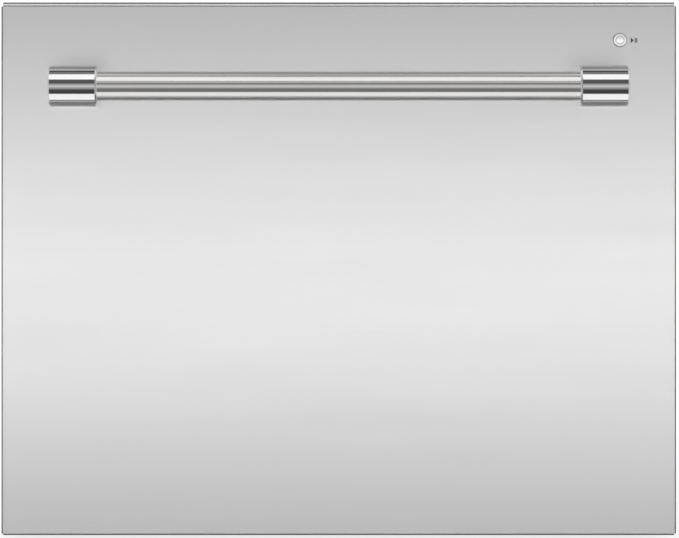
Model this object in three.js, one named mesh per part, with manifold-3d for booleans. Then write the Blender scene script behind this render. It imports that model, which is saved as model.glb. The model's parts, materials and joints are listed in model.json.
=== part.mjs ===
// Built-in dishwasher drawer: a steel chassis on four levelling feet, and a tub on telescopic
// runners behind a brushed steel front with a round bar handle. A lid inside the chassis drops
// onto the tub for the wash. Millimetres, +Z up, the front faces -Y, and the drawer is shut.
//
// The model is laid out with y = 0 at the chassis's front edge and z = 0 at the floor. At the
// end the whole group moves along Y, so that the origin is at the middle of the footprint.
import * as THREE from "three";
import { mergeVertices } from "three/addons/utils/BufferGeometryUtils.js";
import Module from "manifold-3d";

const wasm = await Module();
wasm.setup();

// ---------------------------------------------------------------- driving dimensions

const GAP = 0.3; // between two pieces that touch
const PLAY = 0.5; // between two pieces that slide or turn on each other
const BITE = 0.3; // how far one part of a solid reaches into another, so that they join
const OVERCUT = 1; // how far a cut reaches past the face that it opens

// Front panel
const PANEL_WIDTH = 599;
const PANEL_HEIGHT = 473.5;
const PANEL_THICK = 20;
const PANEL_BOTTOM = 4; // above the floor
const PANEL_TO_CHASSIS = 3; // shut gap between the panel's back and the chassis
const SKIN = 1;
const TOP_BEND = 4;
const EDGE_BEND = 1.5;
const SKIN_TOP_RETURN = 8;
const SKIN_SIDE_RETURN = 18;
const FRAME_BACK_WALL = 4;
const FRAME_BORDER = 12;
const FRAME_RIB = 3;
const FRAME_RIB_PITCH = 140;
const HANDLE_BOSS = 40;
const BADGE_GUIDE_WIDTH = 28;
const PAD_THICK = 3;
const PAD_ROOM = 8; // between the sound pad and the frame's border
const PAD_CORNER = 12;
const CONTROL_STRIP_HEIGHT = 14.5;
const MODULE_ROOM = 24.6; // from the badge's axis to the control module
const MODULE_WIDTH = 185;
const MODULE_THICK = 9;
const CONNECTOR_WIDTH = 30;

// Handle
const HANDLE_END_ROOM = 47.5; // from each post's end to the panel's edge
const HANDLE_DROP = 78; // from the panel's top to the bar's axis
const HANDLE_REACH = 63; // from the panel's face to the front of the posts
const BAR_DIAMETER = 25.6;
const POST_DIAMETER = 36.5;
const POST_WIDTH = 42;
const POST_CHAMFER = 1.3;
const BAR_SOCKET = 24; // how far the bar goes into each post
const HANDLE_SCREW = 6;
const HANDLE_SCREW_DEPTH = 16; // of its hole in the post

// Buttons
const BADGE_DIAMETER = 12;
const BADGE_INSET = 49.9; // from the panel's right edge to the badge's centre
const BADGE_DROP = 33.8; // from the panel's top to the badge's centre
const BADGE_PROUD = 1.2;
const BADGE_LENGTH = 10.2;
const BADGE_TRAVEL = 1;
const KEY_DIAMETER = 9;
const KEY_PITCH = 22;
const KEY_FIRST_X = 150;
const KEY_COUNT = 3;
const KEY_PROUD = 0.8;
const KEY_LENGTH = 8.3;
const KEY_CHAMFER = 0.6;
const KEY_TRAVEL = 1;

// Chassis
const PANEL_OVERHANG = 4.5; // of the panel past each side of the chassis
const CHASSIS_DEPTH = 532;
const CHASSIS_BOTTOM = 16;
const PANEL_RISE = 3.5; // of the panel's top above the chassis
const SHEET = 1.2;
const FRONT_FLANGE = 10;
const FLANGE = 14;
const FRONT_LIP = 16;
const SWAGE_HEIGHT = 1.5;
const SWAGE_SLOPE = 4;
const SWAGE_CORNER = 24;
const SWAGE_SIDE_ROOM = 70; // from a pressed field to the sheet's edge, across the chassis
const SWAGE_FRONT_ROOM = 61; // and from front to back, in the sides
const SIDE_SWAGE_RISE = 70; // from the runner's axis up to the side's field
const SIDE_SWAGE_DROP = 104; // from the chassis's top down to it
const REAR_SWAGE_RISE = 82; // from the fittings' axis up to the rear field
const REAR_SWAGE_DROP = 94;
const TOP_SWAGE_ROOM = 76;
const SIDE_SCREW = 6;
const SIDE_SCREW_Y = 22;
const SIDE_SCREW_ROOM = 44; // from each side's bottom and top to its screw holes
const PAN_WALL = 18;
const PAN_LIP = 4.5; // low, so that the wash motor passes over it
const STIFFENER_WIDTH = 24;
const STIFFENER_HEIGHT = 2;
const STIFFENER_PITCH = 120;
const STIFFENER_FRONT_ROOM = 60;
const STIFFENER_REAR_ROOM = 90;
const FOOT_SIDE_INSET = 40; // from the chassis's side to a foot's axis
const FOOT_FRONT_Y = 45;
const FOOT_REAR_INSET = 42;
const FOOT_PAD = 40;
const FOOT_STEM = 10;
const FOOT_STEM_TOP = 40;
const FOOT_PAD_HEIGHT = 8;
const FOOT_PAD_EDGE = 4;
const FOOT_PAD_CONE = 9;
const FOOT_BOSS = 26;
const REAR_FITTING_REACH = 18; // behind the chassis
const FITTING_HEIGHT = 78;
const FITTING_BORE = 12; // how deep each fitting is bored
const FITTING_COLLAR = 3;

// Side brackets, which hold the chassis to the cabinet
const BRACKET_FRONT = 6;
const BRACKET_LENGTH = 44;
const BRACKET_HEIGHT = 42;
const BRACKET_DROP = 18; // from the chassis's top
const BRACKET_EDGE = 6; // round its slots and hook
const BRACKET_SLOT_LENGTH = 18;
const BRACKET_SLOT_HEIGHT = 5;
const BRACKET_HOOK = 4;
const BRACKET_HOOK_PROUD = 1.3;

// Runners
const RUNNER_Z = 150;
const RUNNER_HEIGHT = 46;
const RUNNER_THICK = 12.7;
const RUNNER_WALL = 1.5;
const RUNNER_FRONT = 14;
const RUNNER_REAR_ROOM = 18; // between the runners and the chassis's back
const RUNNER_LIP = 2;
const RUNNER_STOP = 6;
const RUNNER_NOTCH_ROOM = 3;
const MIDDLE_FRONT = 2; // how far the middle member starts behind the outer one
const MIDDLE_BACK = 24;
const INNER_FRONT = 1;
const INNER_BACK = 10;

// Tub
const TUB_FRONT = 4; // from the chassis's front edge to the rim
const TUB_REAR_ROOM = 46; // between the rim and the chassis's back, for the hoses
const TUB_SIDE_ROOM = 18.5; // between the tub's inside and the runner's rail
const TUB_DRAFT = 6; // each wall leans in by this much from rim to floor
const TUB_CORNER = 42;
const TUB_FLOOR = 91;
const LID_ROOM = 69; // between the tub's rim and the chassis's top
const TUB_WALL = 3;
const RIM_FLANGE = 8;
const TUB_FLOOR_BEND = 12;
const TUB_RAIL_FRONT = 28; // from the runner's front to the tub's rail
const TUB_RAIL_BACK = 70;
const TUB_RAIL_RIB = 3;
const TUB_RAIL_BAYS = 4;
const TUB_RAIL_SKIN = 2.5;
const TUB_POST_WIDTH = 24;
const TUB_POST_HEIGHT = 28;
const TUB_POST_WALL = 3;
const TUB_POST_INSET = 62; // from the tub's inside to the outer posts
const TUB_POST_RISE = 39; // from the tub's floor to the lower posts
const TUB_POST_DROP = 35; // from the tub's rim to the upper posts
const SUMP_RADIUS = 125;
const SUMP_DEPTH = 22;

// Lid
const LID_LIFT = 12; // the lid hangs this far above the tub's rim until the wash starts
const SEAL_HEIGHT = 6;
const SEAL_WIDTH = 6.5;
const LID_EDGE = 7;
const LID_CROWN = 9;
const LID_SKIN = 3;
const LID_LAND = 14; // the flat that carries the seal
const LID_SLOPE = 40;
const LID_RIB = 3;
const LID_RIB_PITCH_X = 240;
const LID_RIB_PITCH_Y = 220;
const LID_RIB_TOP = 15;
const LID_RIB_END_ROOM = 50;
const LID_PIN = 6;
const LID_PIN_SINK = 3;
const LID_PIN_END_ROOM = 7; // between a pin's tip and the chassis's side
const ACTUATOR_THICK = 16.5;
const ACTUATOR_LENGTH = 80;
const ACTUATOR_FLOOR = 6;
const ACTUATOR_DROP = 13; // of its top from the chassis's top
const ACTUATOR_WALL = 4;
const ACTUATOR_CORNER = 5;
const ACTUATOR_MOTOR_LENGTH = 42;
const ACTUATOR_MOTOR_DROP = 26;
const ACTUATOR_LUG = 16;
const ACTUATOR_LUG_THICK = 3;
const ACTUATOR_LUG_HEIGHT = 14;

// Spray arm, filter and pumps
const SPRAY_TIP_ROOM = 18; // between the arm's tip and the tub's rim line
const SPRAY_LIFT = 6; // above the tub's floor
const SPRAY_THICK = 11;
const SPRAY_ROOT = 42; // the blades' width at the hub and at the tip
const SPRAY_TIP = 24;
const SPRAY_BOSS = 54;
const SPRAY_BEVEL = 2;
const NOZZLE_DIAMETER = 10;
const NOZZLE_COUNT = 4;
const NOZZLE_FIRST = 60;
const NOZZLE_TIP_ROOM = 32; // between the last nozzle and the arm's tip
const NOZZLE_OFFSET = 5; // of each nozzle to one side or the other
const HUB_COLUMN = 30;
const HUB_BASE = 68;
const HUB_PIN = 14;
const HUB_PIN_ROOM = 4; // between the pin's top and the arm's
const FILTER_LEDGE = 15; // how far the filter plate rests on the floor round the sump
const FILTER_THICK = 2;
const FILTER_SLOT_WIDTH = 6;
const DRAIN_FILTER_DIAMETER = 56;
const DRAIN_FILTER_BIAS = 1.5; // how far it sits nearer to the hub than midway to the sump's wall
const DRAIN_FILTER_COLLAR = 4;
const DRAIN_FILTER_WINDOWS = 6;
const MOTOR_RADIUS = 92;
const MOTOR_BOTTOM = 28;
const MOTOR_COVER = 84;
const MOTOR_FINS = 6;
const MOTOR_LUGS = 3;
const PUMP_OFFSET = 40; // from the sump's edge to the pump's axis
const PUMP_DIAMETER = 44;
const PUMP_LENGTH = 70;
const PUMP_NECK_LENGTH = 34;
const PUMP_INLET = 14;
const PUMP_OUTLET = 16;
const PUMP_HANG = 6; // between the tub's underside and the pump

// Dish rack
const RACK_SIDE_ROOM = 20; // between the rack's floor frame and the tub's inside at the rim
const RACK_END_ROOM = 26;
const RACK_LIFT = 29.6; // from the tub's floor to the centre of the lower wires
const RACK_FLARE = 6;
const RAIL_WIRE = 5;
const RACK_LEG = 7;
const GRID_WIRE = 3.2;
const CUP_ROOM = 120; // between the side walls' top rail and the tub's rim
const RACK_END_DROP = 23; // of the end walls' top rail below the side walls'
const PLATE_TINE_SHARE = 0.52; // of the height between the hinge wires and the cup shelves
const BOWL_TINE_SHARE = 0.39;
const TINE_WIRE = 3.4;
const TINE_BASE_WIRE = 4;
const TINE_PITCH = 32;
const TINE_END_ROOM = 60; // between the rack's ends and the first tine
const SHELF_DEPTH = 100;
const SHELF_END_ROOM = 34; // between the rack's ends and the shelf's
const SHELF_BAYS = 8;
const SHELF_WIRE = 4;
const CLIP_LENGTH = 8;
const CLIP_WALL = 2.2;

// Cutlery basket
const BASKET_INSET = 67; // from the rack's side to the middle of the basket
const BASKET_WIDTH = 88;
const BASKET_LENGTH = 240;
const BASKET_ROOM = 37.9; // between the basket's rim and the height of the cup shelves
const BASKET_WALL = 2.2;
const BASKET_CELLS = 4;
const BASKET_RIM = 6;
const BASKET_DIVIDER = 2;
const BASKET_DIVIDER_DROP = 14;
const BASKET_GRIP_WIDTH = 14;
const BASKET_GRIP_WALL = 3.2;
const BASKET_GRIP_HEIGHT = 26; // above the rim
const BASKET_GRIP_BAR = 8;
const BASKET_WINDOW_BOTTOM = 0.17; // the windows' bottom and top, as shares of the basket's height
const BASKET_WINDOW_TOP = 0.71;
const BASKET_WINDOW_WIDTH = 40;
const BASKET_END_WINDOW_WIDTH = 22;
const BASKET_FLOOR_SLOT = 12;
const BASKET_FLOOR_PITCH = 24;

// Detergent dispenser
const DISPENSER_X = -25;
const DISPENSER_WIDTH = 140;
const DISPENSER_DROP = 100; // from the tub's rim to the dispenser's bottom
const DISPENSER_HEIGHT = 84;
const DISPENSER_DEPTH = 20;
const CUP_WIDTH = 60;
const CUP_HEIGHT = 58;
const CAP_DIAMETER = 38;
const CAP_PLUG = 8;
const CAP_PLUG_DIAMETER = 24;
const CAP_RIM = 2.6;
const CAP_THICK = 4;
const CAP_GRIP = 9;
const CAP_GRIP_WIDTH = 4.4;
const DISPENSER_EDGE = 10; // from the body's side to the cup
const DISPENSER_CORNER = 10;
const DISPENSER_BEVEL = 1.5;
const CUP_CORNER = 6;
const CUP_FLOOR = 3;
const DOOR_LAP = 1.5; // of the door past the cup's edges
const DOOR_THICK = 3;
const DOOR_KNUCKLE = 4.8;
const DOOR_EAR = 2.8;
const DOOR_PIN = 2.4;

// Folding link under the tub, which carries the hoses and wires
const LINK_SIDE_INSET = 62; // from the tub's inside to the pivots' line
const LINK_REAR_INSET = 29;
const LINK_KNEE_ROOM = 87.82; // from the knee to the tub's inside, on the other side
const LINK_REST_DEG = 3;
const LINK_WIDTH = 26;
const LINK_WALL = 3;
const LINK_WEB_ROOM = 4; // between an eye and the arm's trough
const LINK_THICK = 12;
const LINK_Z = 30;
const LINK_PIN = 8;

// Sides of the round pieces
const FOOT_SIDES = 10;
const FITTING_SIDES = 10;
const PIVOT_SIDES = 12;
const BADGE_SIDES = 20;
const KEY_SIDES = 12;
const CAP_SIDES = 16;
const SUMP_SIDES = 28;
const BAR_SIDES = 28;
const DRAIN_FILTER_SIDES = 16;
const WIRE_SIDES = 4;
const HINGE_WIRE_SIDES = 6;

// ---------------------------------------------------------------- places that follow

const deg = Math.PI / 180;
const PANEL_TOP = PANEL_BOTTOM + PANEL_HEIGHT;
const FRAME_BACK_Y = -PANEL_TO_CHASSIS - 0.5;
const FACE_Y = -PANEL_TO_CHASSIS - PANEL_THICK;
const FRAME_FRONT_Y = FACE_Y + SKIN + GAP;
const FRAME_HALF_WIDTH = PANEL_WIDTH / 2 - SKIN - GAP;
const STRIP_BOTTOM = PANEL_TOP - CONTROL_STRIP_HEIGHT;
const HANDLE_LENGTH = PANEL_WIDTH - 2 * HANDLE_END_ROOM; // over the posts
const HANDLE_Z = PANEL_TOP - HANDLE_DROP;
const BAR_Y = FACE_Y - HANDLE_REACH + POST_DIAMETER / 2;
const POST_X = (HANDLE_LENGTH - POST_WIDTH) / 2;
const BADGE_X = PANEL_WIDTH / 2 - BADGE_INSET;
const BADGE_Z = PANEL_TOP - BADGE_DROP;
const KEY_Y = (FRAME_BACK_Y + FACE_Y + SKIN_TOP_RETURN + GAP) / 2;

const CHASSIS_WIDTH = PANEL_WIDTH - 2 * PANEL_OVERHANG;
const CHASSIS_TOP = PANEL_TOP - PANEL_RISE;
const CHASSIS_INSIDE = CHASSIS_WIDTH / 2 - SHEET;
const SIDE_TOP = CHASSIS_TOP - SHEET - GAP;
const SIDE_BACK = CHASSIS_DEPTH - SHEET - GAP;
const PAN_Z = CHASSIS_BOTTOM + SHEET + GAP;
const PAN_TOP = PAN_Z + SHEET;
const FOOT_X = CHASSIS_WIDTH / 2 - FOOT_SIDE_INSET;
const FOOT_REAR_Y = CHASSIS_DEPTH - FOOT_REAR_INSET;
const RUNNER_X = CHASSIS_INSIDE - GAP; // outer face of the outer member
const RUNNER_LENGTH = CHASSIS_DEPTH - RUNNER_FRONT - RUNNER_REAR_ROOM;

const TUB_RAIL_X = RUNNER_X - RUNNER_THICK - GAP;
const TUB_HALF_WIDTH = TUB_RAIL_X - TUB_SIDE_ROOM; // inside, at the rim
const RIM_HALF_DEPTH = (CHASSIS_DEPTH - TUB_FRONT - TUB_REAR_ROOM) / 2;
const TUB_HALF_DEPTH = RIM_HALF_DEPTH - TUB_WALL - RIM_FLANGE;
const TUB_CENTRE_Y = TUB_FRONT + RIM_HALF_DEPTH;
const TUB_TOP = CHASSIS_TOP - LID_ROOM;
const SUMP_FLOOR = TUB_FLOOR - SUMP_DEPTH;
const SEAL_Z = TUB_TOP + GAP + LID_LIFT;
const LID_Z = SEAL_Z + SEAL_HEIGHT + GAP;
const SEAL_MIDDLE = (RIM_FLANGE + TUB_WALL) / 2; // from the tub's inner edge to the seal's middle
const LID_HALF_WIDTH = TUB_HALF_WIDTH + SEAL_MIDDLE + SEAL_WIDTH / 2 + 1;
const LID_HALF_DEPTH = TUB_HALF_DEPTH + SEAL_MIDDLE + SEAL_WIDTH / 2 + 1;
const LID_CORNER = TUB_CORNER + SEAL_MIDDLE + SEAL_WIDTH / 2 + 1;
const LID_PIN_Z = LID_Z + 4;

const SPRAY_RADIUS = Math.min(TUB_HALF_DEPTH, TUB_HALF_WIDTH) - SPRAY_TIP_ROOM;
const SPRAY_BOTTOM = TUB_FLOOR + SPRAY_LIFT;
const FILTER_RADIUS = SUMP_RADIUS + FILTER_LEDGE;
const DRAIN_FILTER_X = DRAIN_FILTER_BIAS - (SUMP_RADIUS + HUB_BASE / 2) / 2;
const PUMP_X = -SUMP_RADIUS - PUMP_OFFSET;

const RACK_HALF_WIDTH = TUB_HALF_WIDTH - RACK_SIDE_ROOM;
const RACK_HALF_DEPTH = TUB_HALF_DEPTH - RACK_END_ROOM;
const RACK_FLOOR_Z = TUB_FLOOR + RACK_LIFT;
const RACK_SIDE_TOP = TUB_TOP - CUP_ROOM;
const RACK_END_TOP = RACK_SIDE_TOP - RACK_END_DROP;
const UPPER_WIRE_Z = RACK_FLOOR_Z + GRID_WIRE - GAP;
const RACK_FLOOR_TOP = UPPER_WIRE_Z + GRID_WIRE / 2;
const TINE_HINGE_Z = RACK_FLOOR_TOP + GAP + TINE_BASE_WIRE / 2;
const TINE_COUNT = Math.floor((2 * (RACK_HALF_DEPTH - TINE_END_ROOM)) / TINE_PITCH) + 1;
const TINE_SPAN = TINE_PITCH * (TINE_COUNT - 1);
const SHELF_HINGE_X = RACK_HALF_WIDTH + RACK_FLARE - (RAIL_WIRE + SHELF_WIRE) / 2 - GAP;
const SHELF_LENGTH = 2 * (RACK_HALF_DEPTH - SHELF_END_ROOM);
const SHELF_CLIP_Y = (SHELF_LENGTH / SHELF_BAYS) * (SHELF_BAYS / 2 - 1.5); // mid bay
const BASKET_X = RACK_HALF_WIDTH - BASKET_INSET;
const BASKET_HEIGHT = RACK_SIDE_TOP - RACK_FLOOR_TOP - BASKET_ROOM;
const DISPENSER_BOTTOM = TUB_TOP - DISPENSER_DROP;

const LINK_X = TUB_HALF_WIDTH - LINK_SIDE_INSET;
const LINK_TUB_Y = TUB_CENTRE_Y + TUB_HALF_DEPTH - LINK_REAR_INSET;
const LINK_LENGTH = LINK_X + TUB_HALF_WIDTH - LINK_KNEE_ROOM;
const LINK_CHASSIS_Y = LINK_TUB_Y + 2 * LINK_LENGTH * Math.sin(LINK_REST_DEG * deg);
const LINK_FRONT_Z = LINK_Z + LINK_THICK + PLAY;
const FRONTMOST = FACE_Y - HANDLE_REACH;
const REARMOST = CHASSIS_DEPTH + REAR_FITTING_REACH;

// ---------------------------------------------------------------- materials

const finish = (color, roughness, metalness) =>
  new THREE.MeshStandardMaterial({ color, roughness, metalness });
const brushedSteel = finish(0xd2d2d2, 0.35, 1);
const polishedSteel = finish(0xe4e4e6, 0.08, 1);
const zincSheet = finish(0xa9adb0, 0.45, 0.9);
const runnerSteel = finish(0xb8bbbd, 0.3, 1);
const tubPlastic = finish(0xd9dbda, 0.4, 0);
const greyPlastic = finish(0x8b8f92, 0.5, 0);
const darkPlastic = finish(0x2c2e30, 0.5, 0);
const rackCoat = finish(0x9aa2a8, 0.4, 0);
const basketPlastic = finish(0x6f777d, 0.45, 0);
const sealRubber = finish(0x4a4c4e, 0.8, 0);
const filterSteel = finish(0xbfc1c2, 0.35, 1);
const padFelt = finish(0x35332f, 0.9, 0);

// ---------------------------------------------------------------- geometry helpers

const X_AXIS = new THREE.Vector3(1, 0, 0);
const Y_AXIS = new THREE.Vector3(0, 1, 0);
const Z_AXIS = new THREE.Vector3(0, 0, 1);

// A closed geometry as a solid, turned the right way out where its faces point inwards.
function solid(geometry) {
  const bare = new THREE.BufferGeometry();
  bare.setAttribute("position", geometry.getAttribute("position"));
  if (geometry.index) bare.setIndex(geometry.index);
  const merged = mergeVertices(bare, 1e-3);
  const triVerts = new Uint32Array(merged.index.array);
  const vertProperties = merged.attributes.position.array;
  const made = new wasm.Manifold(new wasm.Mesh({ numProp: 3, vertProperties, triVerts }));
  if (made.volume() >= 0) return made;
  for (let i = 0; i < triVerts.length; i += 3) {
    [triVerts[i], triVerts[i + 1]] = [triVerts[i + 1], triVerts[i]];
  }
  return new wasm.Manifold(new wasm.Mesh({ numProp: 3, vertProperties, triVerts }));
}

function geometryOf(made) {
  const mesh = made.getMesh();
  const positions = new Float32Array(mesh.numVert * 3);
  for (let i = 0; i < mesh.numVert; i++) {
    positions.set(mesh.vertProperties.subarray(i * mesh.numProp, i * mesh.numProp + 3), i * 3);
  }
  const geometry = new THREE.BufferGeometry();
  geometry.setAttribute("position", new THREE.BufferAttribute(positions, 3));
  geometry.setIndex(new THREE.BufferAttribute(mesh.triVerts, 1));
  const flat = geometry.toNonIndexed();
  flat.computeVertexNormals();
  return flat;
}

const joined = (...solids) => solids.flat().reduce((a, b) => a.add(b));
const cut = (body, ...tools) => tools.flat().reduce((a, b) => a.subtract(b), body);

// The other-handed copy of a solid, across the plane x = 0.
function mirrored(made) {
  return solid(geometryOf(made).applyMatrix4(new THREE.Matrix4().makeScale(-1, 1, 1)));
}

function block(x0, x1, y0, y1, z0, z1) {
  const geometry = new THREE.BoxGeometry(x1 - x0, y1 - y0, z1 - z0);
  return solid(geometry.translate((x0 + x1) / 2, (y0 + y1) / 2, (z0 + z1) / 2));
}

// A straight rod between two points.
function rod(from, to, diameter, sides = 6) {
  const a = new THREE.Vector3(...from);
  const b = new THREE.Vector3(...to);
  const length = a.distanceTo(b);
  const geometry = new THREE.CylinderGeometry(diameter / 2, diameter / 2, length, sides);
  const turn = new THREE.Quaternion().setFromUnitVectors(
    Y_AXIS,
    b.clone().sub(a).divideScalar(length),
  );
  const middle = a.add(b).multiplyScalar(0.5);
  const place = new THREE.Matrix4().compose(middle, turn, new THREE.Vector3(1, 1, 1));
  return solid(geometry.applyMatrix4(place));
}

const VIEWS = {
  // shape x, shape y and extrusion direction in the model
  x: [Y_AXIS, Z_AXIS, X_AXIS],
  y: [X_AXIS, Z_AXIS, Y_AXIS.clone().negate()],
  z: [X_AXIS, Y_AXIS, Z_AXIS],
};

// A flat outline extruded along an axis, from one station to another. An outline for "x" is drawn
// in (y, z), one for "y" in (x, z) and one for "z" in (x, y). Bevel chamfers both ends' edges, and
// each arc is drawn in a number of steps.
function extruded(axis, shape, from, to, bevel = 0, arcSteps = 4) {
  const geometry = new THREE.ExtrudeGeometry(shape, {
    depth: to - from - 2 * bevel,
    bevelEnabled: bevel > 0,
    bevelThickness: bevel,
    bevelSize: bevel,
    bevelOffset: -bevel,
    bevelSegments: 1,
    curveSegments: arcSteps / 2, // three.js doubles it for an arc
    steps: 1,
  });
  geometry.translate(0, 0, bevel);
  geometry.applyMatrix4(new THREE.Matrix4().makeBasis(...VIEWS[axis]));
  const direction = axis === "y" ? Y_AXIS : VIEWS[axis][2];
  const start = direction.clone().multiplyScalar(axis === "y" ? to : from);
  return solid(geometry.translate(start.x, start.y, start.z));
}

function outline(points) {
  return new THREE.Shape(points.map(([x, y]) => new THREE.Vector2(x, y)));
}

function roundedRectangle(x0, x1, y0, y1, radius) {
  const shape = new THREE.Shape();
  shape.moveTo(x0 + radius, y0);
  shape.lineTo(x1 - radius, y0);
  shape.absarc(x1 - radius, y0 + radius, radius, -90 * deg, 0);
  shape.lineTo(x1, y1 - radius);
  shape.absarc(x1 - radius, y1 - radius, radius, 0, 90 * deg);
  shape.lineTo(x0 + radius, y1);
  shape.absarc(x0 + radius, y1 - radius, radius, 90 * deg, 180 * deg);
  shape.lineTo(x0, y0 + radius);
  shape.absarc(x0 + radius, y0 + radius, radius, 180 * deg, 270 * deg);
  return shape;
}

// A profile of [radius, height] points revolved about an axis through a point.
function turned(profile, segments, axis = Z_AXIS, centre = [0, 0, 0]) {
  const points = profile.map(([radius, height]) => new THREE.Vector2(radius, height));
  const geometry = new THREE.LatheGeometry(points, segments);
  geometry.applyQuaternion(new THREE.Quaternion().setFromUnitVectors(Y_AXIS, axis));
  return solid(geometry.translate(...centre));
}

// The corners of a rounded rectangle round the tub's centre, at one height.
function tubRing(halfWidth, halfDepth, corner, z, centreY = TUB_CENTRE_Y, steps = 4) {
  const ring = [];
  for (let quarter = 0; quarter < 4; quarter++) {
    const sideX = quarter === 0 || quarter === 3 ? 1 : -1;
    const sideY = quarter < 2 ? 1 : -1;
    for (let i = 0; i <= steps; i++) {
      const angle = (quarter + i / steps) * 90 * deg;
      ring.push([
        sideX * (halfWidth - corner) + corner * Math.cos(angle),
        centreY + sideY * (halfDepth - corner) + corner * Math.sin(angle),
        z,
      ]);
    }
  }
  return ring;
}

// Skins a row of rings that have equally many points. Open rows get a flat cap at each end, and a
// closed row joins its last ring to its first.
function lofted(rings, closed = false) {
  const count = rings[0].length;
  const positions = rings.flat(2);
  const index = [];
  const joints = closed ? rings.length : rings.length - 1;
  for (let r = 0; r < joints; r++) {
    const a = r * count;
    const b = ((r + 1) % rings.length) * count;
    for (let i = 0; i < count; i++) {
      const next = (i + 1) % count;
      index.push(a + i, a + next, b + next, a + i, b + next, b + i);
    }
  }
  if (!closed) {
    const last = (rings.length - 1) * count;
    for (let i = 1; i < count - 1; i++) {
      index.push(0, i + 1, i, last, last + i, last + i + 1);
    }
  }
  const geometry = new THREE.BufferGeometry();
  geometry.setAttribute("position", new THREE.Float32BufferAttribute(positions, 3));
  geometry.setIndex(index);
  return solid(geometry);
}

function part(parent, name, made, material, position = [0, 0, 0]) {
  const mesh = new THREE.Mesh(geometryOf(made), material);
  mesh.name = name;
  mesh.position.set(...position);
  parent.add(mesh);
  return mesh;
}

const SIDES = [
  ["left", -1],
  ["right", 1],
];

// ---------------------------------------------------------------- chassis

// A field pressed outwards into a sheet whose outer face is the plane of the profile: the raised
// skin to add, and the hollow behind it to cut. Rings are drawn in the plane (u, v) with depth w.
function swage(halfLength, halfWidth, place) {
  const ring = (inset, w) =>
    tubRing(halfLength - inset, halfWidth - inset, SWAGE_CORNER - inset, w, 0, 2);
  const raised = lofted([ring(0, -BITE), ring(0, 0), ring(SWAGE_SLOPE, SWAGE_HEIGHT)]);
  const under = lofted([
    ring(SHEET, -SHEET - BITE),
    ring(SHEET, -SHEET),
    ring(SWAGE_SLOPE + SHEET, SWAGE_HEIGHT - SHEET),
  ]);
  const move = (made) => solid(geometryOf(made).applyMatrix4(place));
  return { raised: move(raised), under: move(under) };
}

function withSwage(sheet, place, halfLength, halfWidth) {
  const { raised, under } = swage(halfLength, halfWidth, place);
  return sheet.add(raised).subtract(under);
}

const planeAt = (u, v, w, [x, y, z]) => new THREE.Matrix4().makeBasis(u, v, w).setPosition(x, y, z);

function chassisSide() {
  const outside = CHASSIS_WIDTH / 2;
  const inside = outside - SHEET;
  const sheet = block(inside, outside, 0, SIDE_BACK, CHASSIS_BOTTOM, SIDE_TOP);
  const flanges = [
    block(outside - FRONT_FLANGE, outside, 0, SHEET, CHASSIS_BOTTOM, SIDE_TOP),
    block(outside - FLANGE, outside, SIDE_BACK - SHEET, SIDE_BACK, CHASSIS_BOTTOM, SIDE_TOP),
    block(outside - FLANGE, outside, 0, SIDE_BACK, SIDE_TOP - SHEET, SIDE_TOP),
    block(outside - FLANGE, outside, 0, SIDE_BACK, CHASSIS_BOTTOM, CHASSIS_BOTTOM + SHEET),
  ];
  const notchHalf = RUNNER_HEIGHT / 2 + RUNNER_NOTCH_ROOM;
  const runnerNotch = block(
    outside - FRONT_FLANGE - OVERCUT,
    inside,
    -OVERCUT,
    SHEET + OVERCUT,
    RUNNER_Z - notchHalf,
    RUNNER_Z + notchHalf,
  );
  const screwHoles = [CHASSIS_BOTTOM + SIDE_SCREW_ROOM, CHASSIS_TOP - SIDE_SCREW_ROOM].map((z) =>
    rod([inside - OVERCUT, SIDE_SCREW_Y, z], [outside + OVERCUT, SIDE_SCREW_Y, z], SIDE_SCREW, 8),
  );
  const fieldBottom = RUNNER_Z + SIDE_SWAGE_RISE;
  const fieldTop = CHASSIS_TOP - SIDE_SWAGE_DROP;
  const middle = [outside, CHASSIS_DEPTH / 2, (fieldBottom + fieldTop) / 2];
  const field = planeAt(Y_AXIS, Z_AXIS, X_AXIS, middle);
  const pressed = withSwage(
    joined(sheet, flanges),
    field,
    CHASSIS_DEPTH / 2 - SWAGE_FRONT_ROOM,
    (fieldTop - fieldBottom) / 2,
  );
  return cut(pressed, runnerNotch, screwHoles);
}

function chassisRearPanel() {
  const half = CHASSIS_WIDTH / 2;
  const sheet = block(-half, half, CHASSIS_DEPTH - SHEET, CHASSIS_DEPTH, CHASSIS_BOTTOM, SIDE_TOP);
  const fieldBottom = FITTING_HEIGHT + REAR_SWAGE_RISE;
  const fieldTop = CHASSIS_TOP - REAR_SWAGE_DROP;
  const middle = [0, CHASSIS_DEPTH, (fieldBottom + fieldTop) / 2];
  const field = planeAt(X_AXIS.clone().negate(), Z_AXIS, Y_AXIS, middle);
  const holes = REAR_FITTINGS.map(({ x, neck }) => {
    const at = (y) => [x, CHASSIS_DEPTH + y, FITTING_HEIGHT];
    return rod(at(-SHEET - OVERCUT), at(OVERCUT), 2 * (neck + PLAY), FITTING_SIDES);
  });
  return cut(withSwage(sheet, field, half - SWAGE_SIDE_ROOM, (fieldTop - fieldBottom) / 2), holes);
}

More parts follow.
